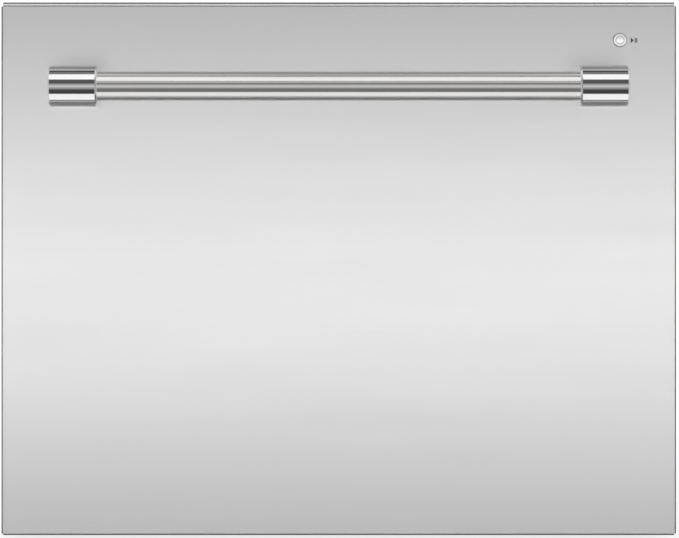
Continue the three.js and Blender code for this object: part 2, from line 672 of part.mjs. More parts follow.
function chassisTopPanel() {
  const half = CHASSIS_WIDTH / 2;
  const sheet = block(-half, half, 0, CHASSIS_DEPTH, CHASSIS_TOP - SHEET, CHASSIS_TOP);
  const lipHalf = half - FLANGE - GAP;
  const frontLip = block(-lipHalf, lipHalf, 0, SHEET, CHASSIS_TOP - FRONT_LIP, CHASSIS_TOP);
  // The field goes down into the chassis, so that the top stays flat under a worktop.
  const [down, forwards] = [Z_AXIS.clone().negate(), Y_AXIS.clone().negate()];
  const field = planeAt(X_AXIS, forwards, down, [0, CHASSIS_DEPTH / 2, CHASSIS_TOP - SHEET]);
  const halfDepth = CHASSIS_DEPTH / 2 - TOP_SWAGE_ROOM;
  return withSwage(joined(sheet, frontLip), field, half - SWAGE_SIDE_ROOM, halfDepth);
}

const FEET = [
  ["front_left", -FOOT_X, FOOT_FRONT_Y],
  ["front_right", FOOT_X, FOOT_FRONT_Y],
  ["rear_left", -FOOT_X, FOOT_REAR_Y],
  ["rear_right", FOOT_X, FOOT_REAR_Y],
];

function chassisBasePan() {
  const half = CHASSIS_INSIDE - GAP;
  const front = SHEET + GAP;
  const back = SIDE_BACK - SHEET - GAP;
  const tray = joined(
    block(-half, half, front, back, PAN_Z, PAN_TOP),
    block(-half, -half + SHEET, front, back, PAN_Z, PAN_TOP + PAN_WALL),
    block(half - SHEET, half, front, back, PAN_Z, PAN_TOP + PAN_WALL),
    block(-half, half, back - SHEET, back, PAN_Z, PAN_TOP + PAN_WALL),
    block(-half, half, front, front + SHEET, PAN_Z, PAN_TOP + PAN_LIP),
  );
  const bosses = FEET.map(([, x, y]) =>
    rod([x, y, PAN_TOP - BITE], [x, y, PAN_TOP + PAN_WALL], FOOT_BOSS, FOOT_SIDES),
  );
  const bores = FEET.map(([, x, y]) =>
    rod(
      [x, y, PAN_Z - OVERCUT],
      [x, y, PAN_TOP + PAN_WALL + OVERCUT],
      FOOT_STEM + 2 * GAP,
      FOOT_SIDES,
    ),
  );
  const linkBoss = turned(
    [
      [0, PAN_TOP - BITE],
      [LINK_WIDTH / 2, PAN_TOP - BITE],
      [LINK_WIDTH / 2 - 2, LINK_Z - PLAY],
      [LINK_PIN / 2, LINK_Z - PLAY],
      [LINK_PIN / 2, LINK_Z + LINK_THICK],
      [0, LINK_Z + LINK_THICK],
    ],
    PIVOT_SIDES,
    Z_AXIS,
    [LINK_X, LINK_CHASSIS_Y, 0],
  );
  const stiffeners = [-STIFFENER_PITCH, 0, STIFFENER_PITCH].map((x) =>
    block(
      x - STIFFENER_WIDTH / 2,
      x + STIFFENER_WIDTH / 2,
      front + STIFFENER_FRONT_ROOM,
      back - STIFFENER_REAR_ROOM,
      PAN_TOP - BITE,
      PAN_TOP + STIFFENER_HEIGHT,
    ),
  );
  return cut(joined(tray, bosses, linkBoss, stiffeners), bores);
}

function foot() {
  const pad = FOOT_PAD / 2;
  const stem = FOOT_STEM / 2;
  return turned(
    [
      [0, 0],
      [pad, 0],
      [pad, FOOT_PAD_EDGE],
      [pad - FOOT_PAD_CONE, FOOT_PAD_HEIGHT],
      [stem, FOOT_PAD_HEIGHT],
      [stem, FOOT_STEM_TOP],
      [0, FOOT_STEM_TOP],
    ],
    FOOT_SIDES,
  );
}

// Fittings through the rear panel, each revolved about its own axis, which points to the rear:
// [radius, y] from the inner end to the outer end. They stand in a row from the left side.
const fromLeft = (distance) => distance - CHASSIS_WIDTH / 2;
const REAR_FITTINGS = [
  { name: "power_inlet_gland", x: fromLeft(47), neck: 9, inner: 13, inset: 14, spigot: 7, bore: 4 },
  { name: "water_inlet_valve", x: fromLeft(95), neck: 14, inner: 20, inset: 30, spigot: 13.2, bore: 8 },
  { name: "drain_outlet", x: fromLeft(150), neck: 12, inner: 16, inset: 22, spigot: 9.5, bore: 7 },
];

function rearFitting({ x, neck, inner, inset, spigot, bore }) {
  const panelInside = CHASSIS_DEPTH - SHEET - GAP;
  const panelOutside = CHASSIS_DEPTH + GAP;
  const collar = FITTING_COLLAR;
  return turned(
    [
      [0, panelInside - inset],
      [inner - collar, panelInside - inset],
      [inner, panelInside - inset + collar],
      [inner, panelInside],
      [neck, panelInside],
      [neck, panelOutside],
      [neck + collar, panelOutside],
      [neck + collar, panelOutside + collar],
      [spigot, panelOutside + collar],
      [spigot, REARMOST],
      [bore, REARMOST],
      [bore, REARMOST - FITTING_BORE],
      [0, REARMOST - FITTING_BORE],
    ],
    FITTING_SIDES,
    Y_AXIS,
    [x, 0, FITTING_HEIGHT],
  );
}

function mountingBracket() {
  const inner = CHASSIS_WIDTH / 2 + GAP;
  const outer = inner + SHEET;
  const back = BRACKET_FRONT + BRACKET_LENGTH;
  const top = CHASSIS_TOP - BRACKET_DROP;
  const bottom = top - BRACKET_HEIGHT;
  const edge = BRACKET_EDGE;
  const hookBack = back - BRACKET_HOOK / 2;
  const plate = block(inner, outer, BRACKET_FRONT, back, bottom, top);
  const hook = block(
    inner,
    outer + BRACKET_HOOK_PROUD,
    hookBack - BRACKET_HOOK,
    hookBack,
    bottom + edge,
    top - edge,
  );
  const slotFront = BRACKET_FRONT + edge;
  const slotEdge = 1.5 * edge - 1.5; // from the plate's edge to a slot
  const slots = [bottom + slotEdge, top - slotEdge - BRACKET_SLOT_HEIGHT].map((z) =>
    block(
      inner - OVERCUT,
      outer + OVERCUT,
      slotFront,
      slotFront + BRACKET_SLOT_LENGTH,
      z,
      z + BRACKET_SLOT_HEIGHT,
    ),
  );
  return cut(joined(plate, hook), slots);
}

// ---------------------------------------------------------------- runners

// Outline of a channel, in (x, z) about the runner's centre line, for the right-hand runner.
// u runs inwards from the chassis's side.
function channel(webU, wall, tipU, half) {
  const x = (u) => RUNNER_X - u;
  const turn = Math.sign(tipU - webU);
  const webInner = webU + turn * wall;
  return outline([
    [x(webU), RUNNER_Z - half],
    [x(tipU), RUNNER_Z - half],
    [x(tipU), RUNNER_Z - half + wall],
    [x(webInner), RUNNER_Z - half + wall],
    [x(webInner), RUNNER_Z + half - wall],
    [x(tipU), RUNNER_Z + half - wall],
    [x(tipU), RUNNER_Z + half],
    [x(webU), RUNNER_Z + half],
  ]);
}

// The three members nest with the same play all round. Lips on the outer one hold the middle one,
// and the inner one, which carries the tub, runs between the middle one's flanges.
function runnerMembers() {
  const outerHalf = RUNNER_HEIGHT / 2;
  const outerTip = RUNNER_THICK - RUNNER_WALL - PLAY - 0.2; // clear of the inner member's web
  const middleHalf = outerHalf - RUNNER_WALL - PLAY;
  const middleWeb = RUNNER_WALL + PLAY;
  const middleTip = outerTip - RUNNER_WALL - PLAY;
  const innerHalf = middleHalf - RUNNER_WALL - PLAY;
  const innerTip = middleWeb + RUNNER_WALL + PLAY;
  const back = RUNNER_FRONT + RUNNER_LENGTH;
  const lip = (side) => {
    const edge = RUNNER_Z + side * (outerHalf - RUNNER_WALL + BITE);
    const tip = RUNNER_Z + side * (outerHalf - RUNNER_WALL - RUNNER_LIP);
    return block(
      RUNNER_X - outerTip,
      RUNNER_X - outerTip + RUNNER_WALL,
      RUNNER_FRONT,
      back,
      Math.min(edge, tip),
      Math.max(edge, tip),
    );
  };
  const member = (shape, from, to) => extruded("y", shape, from, to);
  const stop = block(
    RUNNER_X - middleTip,
    RUNNER_X - RUNNER_WALL + BITE,
    back - RUNNER_STOP,
    back,
    RUNNER_Z - outerHalf + RUNNER_WALL - BITE,
    RUNNER_Z + outerHalf - RUNNER_WALL + BITE,
  );
  return {
    outer: joined(
      member(channel(0, RUNNER_WALL, outerTip, outerHalf), RUNNER_FRONT, back),
      lip(1),
      lip(-1),
      stop,
    ),
    middle: member(
      channel(middleWeb, RUNNER_WALL, middleTip, middleHalf),
      RUNNER_FRONT + MIDDLE_FRONT,
      back - MIDDLE_BACK,
    ),
    inner: member(
      channel(RUNNER_THICK, RUNNER_WALL, innerTip, innerHalf),
      RUNNER_FRONT + INNER_FRONT,
      back - INNER_BACK,
    ),
  };
}

// ---------------------------------------------------------------- lid and its actuators

function lidSeal() {
  const middle = SEAL_MIDDLE;
  const half = SEAL_WIDTH / 2;
  // [offset from the tub's inner edge, height] round the bulb's section
  const section = [
    [middle - half + 1, 0],
    [middle + half - 1, 0],
    [middle + half, SEAL_HEIGHT],
    [middle - half, SEAL_HEIGHT],
  ];
  const rings = section.map(([offset, height]) =>
    tubRing(
      TUB_HALF_WIDTH + offset,
      TUB_HALF_DEPTH + offset,
      TUB_CORNER + offset,
      SEAL_Z + height,
    ),
  );
  return lofted(rings, true);
}

function lidPanel() {
  const ring = (inset, height) =>
    tubRing(
      LID_HALF_WIDTH - inset,
      LID_HALF_DEPTH - inset,
      LID_CORNER - Math.min(inset, LID_CORNER - 8),
      LID_Z + height,
    );
  const shell = lofted([
    ring(LID_LAND, 0),
    ring(0, 0),
    ring(0, LID_EDGE),
    ring(LID_SLOPE, LID_CROWN),
  ]);
  const hollow = lofted([
    ring(LID_LAND + 0.5, -OVERCUT),
    ring(LID_LAND + LID_SKIN, 2),
    ring(LID_SLOPE, LID_CROWN - LID_SKIN),
  ]);
  const rib = LID_RIB / 2;
  const ribFoot = LID_Z + LID_CROWN - BITE;
  const ribTop = LID_Z + LID_RIB_TOP;
  const ribReachX = LID_HALF_WIDTH - LID_RIB_END_ROOM;
  const ribReachY = LID_HALF_DEPTH - LID_RIB_END_ROOM;
  const ribs = [-LID_RIB_PITCH_X / 2, LID_RIB_PITCH_X / 2].map((x) =>
    block(x - rib, x + rib, TUB_CENTRE_Y - ribReachY, TUB_CENTRE_Y + ribReachY, ribFoot, ribTop),
  );
  const crossRibs = [-LID_RIB_PITCH_Y / 2, LID_RIB_PITCH_Y / 2].map((y) =>
    block(-ribReachX, ribReachX, TUB_CENTRE_Y + y - rib, TUB_CENTRE_Y + y + rib, ribFoot, ribTop),
  );
  const pinTip = RUNNER_X - LID_PIN_END_ROOM;
  const pins = SIDES.map(([, side]) =>
    rod(
      [side * (LID_HALF_WIDTH - LID_PIN_SINK), TUB_CENTRE_Y, LID_PIN_Z],
      [side * pinTip, TUB_CENTRE_Y, LID_PIN_Z],
      LID_PIN,
      PIVOT_SIDES,
    ),
  );
  return joined(cut(shell, hollow), ribs, crossRibs, pins);
}

function lidActuator() {
  const outer = RUNNER_X;
  const inner = outer - ACTUATOR_THICK;
  const lowest = LID_PIN_Z - LID_LIFT - LID_PIN / 2 - PLAY;
  const highest = LID_PIN_Z + LID_PIN / 2 + PLAY;
  const half = ACTUATOR_LENGTH / 2;
  const housing = extruded(
    "x",
    roundedRectangle(
      TUB_CENTRE_Y - half,
      TUB_CENTRE_Y + half,
      lowest - ACTUATOR_FLOOR,
      CHASSIS_TOP - ACTUATOR_DROP,
      ACTUATOR_CORNER,
    ),
    inner,
    outer,
    0,
    2,
  );
  const slot = block(
    inner - OVERCUT,
    outer - ACTUATOR_WALL,
    TUB_CENTRE_Y - LID_PIN / 2 - PLAY,
    TUB_CENTRE_Y + LID_PIN / 2 + PLAY,
    lowest,
    highest,
  );
  const motor = turned(
    [
      [0, 0],
      [ACTUATOR_THICK / 2, 0],
      [ACTUATOR_THICK / 2, ACTUATOR_MOTOR_LENGTH],
      [0, ACTUATOR_MOTOR_LENGTH],
    ],
    PIVOT_SIDES,
    Y_AXIS,
    [(inner + outer) / 2, TUB_CENTRE_Y + half - OVERCUT, CHASSIS_TOP - ACTUATOR_MOTOR_DROP],
  );
  const lugs = [-1, 1].map((side) => {
    const y = TUB_CENTRE_Y + side * (half + ACTUATOR_FLOOR);
    return block(
      outer - ACTUATOR_LUG_THICK,
      outer,
      y - ACTUATOR_LUG / 2,
      y + ACTUATOR_LUG / 2,
      lowest - 2,
      lowest - 2 + ACTUATOR_LUG_HEIGHT,
    );
  });
  return cut(joined(housing, motor, lugs), slot);
}

// ---------------------------------------------------------------- drawer front

// The panel's outside, shrunk by an inset: a side view with a large bend at the top, met by a plan
// view with small bends at the sides.
function panelBody(inset, back) {
  const face = FACE_Y + inset;
  const top = PANEL_TOP - inset;
  const bottom = PANEL_BOTTOM + inset;
  const half = PANEL_WIDTH / 2 - inset;
  const topBend = TOP_BEND - inset;
  const edgeBend = EDGE_BEND - inset;
  const sideView = new THREE.Shape();
  sideView.moveTo(back, bottom);
  sideView.lineTo(back, top);
  sideView.lineTo(face + topBend, top);
  sideView.absarc(face + topBend, top - topBend, topBend, 90 * deg, 180 * deg);
  sideView.lineTo(face, bottom + edgeBend);
  sideView.absarc(face + edgeBend, bottom + edgeBend, edgeBend, 180 * deg, 270 * deg);
  const planView = new THREE.Shape();
  planView.moveTo(-half, back);
  planView.lineTo(-half, face + edgeBend);
  planView.absarc(-half + edgeBend, face + edgeBend, edgeBend, 180 * deg, 270 * deg);
  planView.lineTo(half - edgeBend, face);
  planView.absarc(half - edgeBend, face + edgeBend, edgeBend, 270 * deg, 360 * deg);
  planView.lineTo(half, back);
  const side = extruded("x", sideView, -half - 1, half + 1);
  const plan = extruded("z", planView, bottom - 1, top + 1, 0, 2);
  return side.intersect(plan);
}

const badgeBore = (back) =>
  rod(
    [BADGE_X, FACE_Y - 1, BADGE_Z],
    [BADGE_X, back, BADGE_Z],
    BADGE_DIAMETER + 2 * GAP,
    BADGE_SIDES,
  );

const handleScrewHoles = (back) =>
  SIDES.map(([, side]) => {
    const at = (y) => [side * POST_X, y, HANDLE_Z];
    return rod(at(FACE_Y - 1), at(back), HANDLE_SCREW + 2 * PLAY, 8);
  });

function frontSkin() {
  const half = PANEL_WIDTH / 2;
  const sideBack = FACE_Y + SKIN_SIDE_RETURN;
  const topBack = FACE_Y + SKIN_TOP_RETURN;
  const shell = cut(panelBody(0, sideBack), panelBody(SKIN, sideBack + 5));
  const topNotch = block(-half + SKIN, half - SKIN, topBack, 5, PANEL_TOP - 2, PANEL_TOP + 1);
  return cut(shell, topNotch, badgeBore(FACE_Y + 2), handleScrewHoles(FACE_Y + 2));
}

function frontInnerFrame() {
  const half = FRAME_HALF_WIDTH;
  const bottom = PANEL_BOTTOM + SKIN + GAP;
  const top = STRIP_BOTTOM - GAP;
  const pocketBack = FRAME_BACK_Y - FRAME_BACK_WALL;
  const ribFront = FRAME_FRONT_Y + PAD_THICK + GAP;
  const border = FRAME_BORDER;
  const body = block(-half, half, FRAME_FRONT_Y, FRAME_BACK_Y, bottom, top);
  const pocket = block(
    -half + border,
    half - border,
    FRAME_FRONT_Y - 1,
    pocketBack,
    bottom + border,
    top - border,
  );
  const ribs = [-FRAME_RIB_PITCH, 0, FRAME_RIB_PITCH].map((x) =>
    block(
      x - FRAME_RIB / 2,
      x + FRAME_RIB / 2,
      ribFront,
      pocketBack + BITE,
      bottom + border - BITE,
      HANDLE_Z + FRAME_BORDER,
    ),
  );
  const boss = HANDLE_BOSS / 2;
  const handleBosses = SIDES.map(([, side]) => {
    const x = side * POST_X;
    return block(x - boss, x + boss, FRAME_FRONT_Y, pocketBack + BITE, HANDLE_Z - boss, HANDLE_Z + boss);
  });
  const badgeGuide = block(
    BADGE_X - BADGE_GUIDE_WIDTH / 2,
    BADGE_X + BADGE_GUIDE_WIDTH / 2,
    FRAME_FRONT_Y,
    pocketBack + BITE,
    BADGE_Z - BADGE_DIAMETER,
    top - border + BITE,
  );
  const solidFrame = joined(cut(body, pocket), ribs, handleBosses, badgeGuide);
  return cut(solidFrame, badgeBore(FACE_Y + BADGE_LENGTH + BADGE_TRAVEL), handleScrewHoles(0));
}

function soundPad() {
  const x = FRAME_HALF_WIDTH - FRAME_BORDER - PAD_ROOM;
  const bottom = PANEL_BOTTOM + FRAME_BORDER + 2 * PAD_ROOM;
  const shape = roundedRectangle(-x, x, bottom, HANDLE_Z - HANDLE_BOSS / 2 - PAD_ROOM, PAD_CORNER);
  return extruded("y", shape, FRAME_FRONT_Y, FRAME_FRONT_Y + PAD_THICK, 0, 2);
}

function controlModule() {
  const back = FRAME_BACK_Y - FRAME_BACK_WALL - GAP;
  const front = back - MODULE_THICK;
  const bottom = HANDLE_Z + 2 * FRAME_BORDER;
  const top = STRIP_BOTTOM - 1.5 * FRAME_BORDER;
  const right = BADGE_X - MODULE_ROOM;
  const caseBody = block(right - MODULE_WIDTH, right, front, back, bottom, top);
  const left = right - MODULE_WIDTH + CONNECTOR_WIDTH / 2;
  const connector = block(
    left,
    left + CONNECTOR_WIDTH,
    front,
    back - 2,
    bottom - PAD_ROOM,
    bottom + OVERCUT,
  );
  return joined(caseBody, connector);
}

const KEYS = Array.from({ length: KEY_COUNT }, (_, i) => KEY_FIRST_X + i * KEY_PITCH);

function controlStrip() {
  const returnBack = FACE_Y + SKIN_TOP_RETURN + GAP;
  const underReturn = PANEL_TOP - SKIN - GAP;
  const section = outline([
    [FRAME_FRONT_Y + TOP_BEND, STRIP_BOTTOM],
    [FRAME_BACK_Y, STRIP_BOTTOM],
    [FRAME_BACK_Y, PANEL_TOP - EDGE_BEND],
    [FRAME_BACK_Y - EDGE_BEND, PANEL_TOP],
    [returnBack, PANEL_TOP],
    [returnBack, underReturn],
    [FRAME_FRONT_Y + TOP_BEND, underReturn],
  ]);
  const body = extruded("x", section, -FRAME_HALF_WIDTH, FRAME_HALF_WIDTH);
  const holeBottom = PANEL_TOP + KEY_PROUD - KEY_LENGTH - KEY_TRAVEL - PLAY;
  const holes = KEYS.map((x) =>
    rod([x, KEY_Y, holeBottom], [x, KEY_Y, PANEL_TOP + OVERCUT], KEY_DIAMETER + 2 * GAP, KEY_SIDES),
  );
  return cut(body, holes);
}

// A push key about its own axis: [radius, height], with its top or face end last.
function key(diameter, length) {
  const radius = diameter / 2;
  return [
    [0, 0],
    [radius, 0],
    [radius, length - KEY_CHAMFER],
    [radius - KEY_CHAMFER, length],
    [0, length],
  ];
}

// ---------------------------------------------------------------- handle

function handleBar() {
  const half = HANDLE_LENGTH / 2 - POST_WIDTH + BAR_SOCKET - PLAY;
  return rod([-half, BAR_Y, HANDLE_Z], [half, BAR_Y, HANDLE_Z], BAR_DIAMETER, BAR_SIDES);
}

// The post is a round nose with flat cheeks that run back to the panel, drawn in (y, z) about the
// bar's axis. The bar's socket opens towards the middle of the handle.
function handlePost() {
  const radius = POST_DIAMETER / 2;
  const backY = FACE_Y - GAP - BAR_Y;
  const section = new THREE.Shape();
  section.moveTo(backY, radius);
  section.lineTo(0, radius);
  section.absarc(0, 0, radius, 90 * deg, 270 * deg);
  section.lineTo(backY, -radius);
  const half = POST_WIDTH / 2;
  const body = extruded("x", section, -half, half, POST_CHAMFER, BAR_SIDES / 2);
  const socketEnd = -half + BAR_SOCKET;
  const socket = rod([-half - OVERCUT, 0, 0], [socketEnd, 0, 0], BAR_DIAMETER + 2 * GAP, BAR_SIDES);
  const screwHole = rod([0, backY + OVERCUT, 0], [0, backY - HANDLE_SCREW_DEPTH, 0], HANDLE_SCREW, 8);
  return cut(body, socket, screwHole);
}

// ---------------------------------------------------------------- tub

const draftAt = (z) => (TUB_DRAFT * (TUB_TOP - z)) / (TUB_TOP - TUB_FLOOR);

// One level of the tub's inside, moved out by an offset.
const tubLevel = (offset, z) =>
  tubRing(
    TUB_HALF_WIDTH - draftAt(z) + offset,
    TUB_HALF_DEPTH - draftAt(z) + offset,
    TUB_CORNER - draftAt(z) + Math.max(offset, 8 - TUB_CORNER),
    z,
  );

function tub() {
  const under = TUB_FLOOR - TUB_WALL;
  const underBend = TUB_FLOOR_BEND + 2;
  const flangeUnder = TUB_TOP - TUB_WALL;
  const shell = lofted([
    tubLevel(TUB_WALL - underBend, under),
    tubLevel(TUB_WALL - 0.3 * underBend, under + 0.3 * underBend),
    tubLevel(TUB_WALL, under + underBend),
    tubLevel(TUB_WALL, flangeUnder),
    tubLevel(TUB_WALL + RIM_FLANGE, flangeUnder),
    tubLevel(TUB_WALL + RIM_FLANGE, TUB_TOP),
    tubLevel(0, TUB_TOP),
    tubLevel(0, TUB_FLOOR + TUB_FLOOR_BEND),
    tubLevel(-0.3 * TUB_FLOOR_BEND, TUB_FLOOR + 0.3 * TUB_FLOOR_BEND),
    tubLevel(-TUB_FLOOR_BEND, TUB_FLOOR),
  ]);
  const sumpOuter = rod(
    [0, TUB_CENTRE_Y, SUMP_FLOOR - TUB_WALL],
    [0, TUB_CENTRE_Y, TUB_FLOOR - 0.5],
    2 * (SUMP_RADIUS + TUB_WALL),
    SUMP_SIDES,
  );
  const sumpInner = rod(
    [0, TUB_CENTRE_Y, SUMP_FLOOR],
    [0, TUB_CENTRE_Y, TUB_FLOOR + 2],
    2 * SUMP_RADIUS,
    SUMP_SIDES,
  );
  return cut(joined(shell, sumpOuter, tubRails(), tubPosts()), sumpInner);
}

// Ribbed rails along both sides, which the runners' inner members screw to. They start inside the
// wall's own thickness, so they never reach into the tub.
function tubRails() {
  const wallX = TUB_HALF_WIDTH - draftAt(RUNNER_Z) + TUB_WALL - 1;
  const rib = TUB_RAIL_RIB;
  const half = RUNNER_HEIGHT / 2 - 2 * RUNNER_WALL - 2 * PLAY - rib;
  const from = RUNNER_FRONT + TUB_RAIL_FRONT;
  const to = RUNNER_FRONT + RUNNER_LENGTH - TUB_RAIL_BACK;
  const pitch = (to - from - rib) / TUB_RAIL_BAYS;
  const rail = block(wallX, TUB_RAIL_X, from, to, RUNNER_Z - half, RUNNER_Z + half);
  const pockets = Array.from({ length: TUB_RAIL_BAYS }, (_, i) =>
    block(
      wallX + TUB_RAIL_SKIN,
      TUB_RAIL_X + OVERCUT,
      from + rib + i * pitch,
      from + (i + 1) * pitch,
      RUNNER_Z - half + rib,
      RUNNER_Z + half - rib,
    ),
  );
  const right = cut(rail, pockets);
  return [right, mirrored(right)];
}

// Hollow posts that tie the tub's front wall to the inner frame of the drawer front.
function tubPosts() {
  const frontWall = TUB_CENTRE_Y - TUB_HALF_DEPTH - TUB_WALL + 1;
  const outerX = TUB_HALF_WIDTH - TUB_POST_INSET;
  const halfWidth = TUB_POST_WIDTH / 2;
  const halfHeight = TUB_POST_HEIGHT / 2;
  return [TUB_FLOOR + TUB_POST_RISE, TUB_TOP - TUB_POST_DROP].flatMap((z) =>
    [-outerX, 0, outerX].map((x) => {
      const wallY = frontWall + draftAt(z);
      const tube = (inset, from, to) =>
        block(
          x - halfWidth + inset,
          x + halfWidth - inset,
          from,
          to,
          z - halfHeight + inset,
          z + halfHeight - inset,
        );
      const post = tube(0, FRAME_BACK_Y + GAP, wallY + BITE);
      return cut(post, tube(TUB_POST_WALL, FRAME_BACK_Y, wallY - 2));
    }),
  );
}

// ---------------------------------------------------------------- wash system

function sprayHub() {
  const column = HUB_COLUMN / 2;
  const base = HUB_BASE / 2;
  const pinTop = SPRAY_BOTTOM + SPRAY_THICK - HUB_PIN_ROOM;
  return turned(
    [
      [0, SUMP_FLOOR + GAP],
      [base, SUMP_FLOOR + GAP],
      [base, SUMP_FLOOR + 4],
      [column, SUMP_FLOOR + 10],
      [column, SPRAY_BOTTOM - PLAY],
      [HUB_PIN / 2, SPRAY_BOTTOM - PLAY],
      [HUB_PIN / 2, pinTop],
      [0, pinTop],
    ],
    16,
    Z_AXIS,
    [0, TUB_CENTRE_Y, 0],
  );
}

// The arm about its own axis, with z = 0 at its underside. One blade is drawn, and the other is
// the same one turned half round.
function sprayArm() {
  const root = SPRAY_ROOT / 2;
  const tip = SPRAY_TIP / 2;
  const waist = tip + 3;
  const tipX = SPRAY_RADIUS - tip;
  const waistX = 0.45 * tipX;
  const blade = new THREE.Shape();
  blade.moveTo(-OVERCUT, -root);
  blade.lineTo(0.2 * tipX, -root);
  blade.quadraticCurveTo(waistX, -waist, tipX, -tip);
  blade.absarc(tipX, 0, tip, -90 * deg, 90 * deg);
  blade.quadraticCurveTo(waistX, waist, 0.2 * tipX, root);
  blade.lineTo(-OVERCUT, root);
  const top = SPRAY_THICK - SPRAY_BEVEL;
  const right = extruded("z", blade, 0, top, SPRAY_BEVEL, 6);
  const nozzlePitch = (SPRAY_RADIUS - NOZZLE_TIP_ROOM - NOZZLE_FIRST) / (NOZZLE_COUNT - 1);
  const nozzles = Array.from({ length: NOZZLE_COUNT }, (_, i) =>
    turned(
      [
        [0, top - 1],
        [NOZZLE_DIAMETER / 2, top - 1],
        [NOZZLE_DIAMETER / 3, SPRAY_THICK],
        [0, SPRAY_THICK],
      ],
      6,
      Z_AXIS,
      [NOZZLE_FIRST + i * nozzlePitch, i % 2 ? NOZZLE_OFFSET : -NOZZLE_OFFSET, 0],
    ),
  );
  const oneSide = joined(right, nozzles);
  const otherSide = solid(geometryOf(oneSide).rotateZ(180 * deg));
  const boss = turned(
    [
      [0, 0],
      [SPRAY_BOSS / 2, 0],
      [SPRAY_BOSS / 2, top],
      [SPRAY_BOSS / 2 - 7, SPRAY_THICK + 1],
      [0, SPRAY_THICK + 1],
    ],
    20,
  );
  const boreTop = SPRAY_THICK - HUB_PIN_ROOM + PLAY;
  const bore = rod([0, 0, -OVERCUT], [0, 0, boreTop], HUB_PIN + 2 * PLAY, 16);
  return cut(joined(oneSide, otherSide, boss), bore);
}

function filterPlate() {
  const under = TUB_FLOOR + GAP;
  const top = under + FILTER_THICK;
  const disc = rod([0, 0, under], [0, 0, top], 2 * FILTER_RADIUS, SUMP_SIDES);
  const centreHole = rod([0, 0, under - OVERCUT], [0, 0, top + OVERCUT], HUB_COLUMN + 4, 16);
  const drainHole = rod(
    [DRAIN_FILTER_X, 0, under - OVERCUT],
    [DRAIN_FILTER_X, 0, top + OVERCUT],
    DRAIN_FILTER_DIAMETER / Math.cos(Math.PI / DRAIN_FILTER_SIDES) + 2 * PLAY,
    DRAIN_FILTER_SIDES,
  );
  const slotRows = [
    { radius: FILTER_RADIUS - 28, count: 12, length: 36 },
    { radius: HUB_COLUMN / 2 + 47, count: 6, length: 34 },
  ];
  const slots = slotRows.flatMap(({ radius, count, length }) =>
    Array.from({ length: count }, (_, i) => (i * 360 * deg) / count)
      .filter((angle) => {
        const x = radius * Math.cos(angle) - DRAIN_FILTER_X;
        const y = radius * Math.sin(angle);
        const room = DRAIN_FILTER_COLLAR + 1;
        return Math.hypot(x, y) > (DRAIN_FILTER_DIAMETER + length) / 2 + room;
      })
      .map((angle) => {
        const slot = new THREE.BoxGeometry(length, FILTER_SLOT_WIDTH, 8).translate(radius, 0, under);
        return solid(slot.rotateZ(angle));
      }),
  );
  const flat = cut(disc, centreHole, drainHole, slots);
  return solid(geometryOf(flat).translate(0, TUB_CENTRE_Y, 0));
}

// The drain filter about its own axis, with z = 0 at the filter plate's top.
function drainFilter() {
  const radius = DRAIN_FILTER_DIAMETER / 2;
  const collar = DRAIN_FILTER_COLLAR;
  const bottom = SUMP_FLOOR + 1 - (TUB_FLOOR + GAP + FILTER_THICK);
  const cup = turned(
    [
      [0, bottom],
      [radius - 5, bottom],
      [radius - 1, bottom + 3],
      [radius, -4],
      [radius, GAP],
      [radius + collar, GAP],
      [radius + collar, 2],
      [radius - collar, 2],
      [radius - collar - 1, -8],
      [0, -8],
    ],
    DRAIN_FILTER_SIDES,
  );
  const grip = block(collar - radius, radius - collar, -2, 2, -9, 2);
  const windows = Array.from({ length: DRAIN_FILTER_WINDOWS }, (_, i) => {
    const slot = new THREE.BoxGeometry(8, 10, 3).translate(radius, 0, bottom + 9);
    return solid(slot.rotateZ(((i * 360) / DRAIN_FILTER_WINDOWS) * deg));
  });
  return cut(joined(cup, grip), windows);
}

function washMotor() {
  const top = SUMP_FLOOR - TUB_WALL - GAP;
  const body = turned(
    [
      [0, MOTOR_BOTTOM],
      [MOTOR_COVER / 2, MOTOR_BOTTOM],
      [MOTOR_COVER / 2 + 4, MOTOR_BOTTOM + 14],
      [MOTOR_RADIUS - 6, MOTOR_BOTTOM + 16],
      [MOTOR_RADIUS, MOTOR_BOTTOM + 22],
      [MOTOR_RADIUS, top],
      [0, top],
    ],
    SUMP_SIDES,
  );
  const finLength = MOTOR_RADIUS - MOTOR_COVER / 2 - 14;
  const fins = Array.from({ length: MOTOR_FINS }, (_, i) => {
    const x = (MOTOR_COVER + finLength) / 2 + 4 - 2;
    const fin = new THREE.BoxGeometry(finLength, 3, 12).translate(x, 0, MOTOR_BOTTOM + 11);
    return solid(fin.rotateZ(((i * 360) / MOTOR_FINS) * deg));
  });
  const lugs = Array.from({ length: MOTOR_LUGS }, (_, i) => {
    const lug = new THREE.BoxGeometry(20, 18, 6).translate(MOTOR_RADIUS + 6, 0, top - 3);
    return solid(lug.rotateZ((90 + (i * 360) / MOTOR_LUGS) * deg));
  });
  return solid(geometryOf(joined(body, fins, lugs)).translate(0, TUB_CENTRE_Y, 0));
}

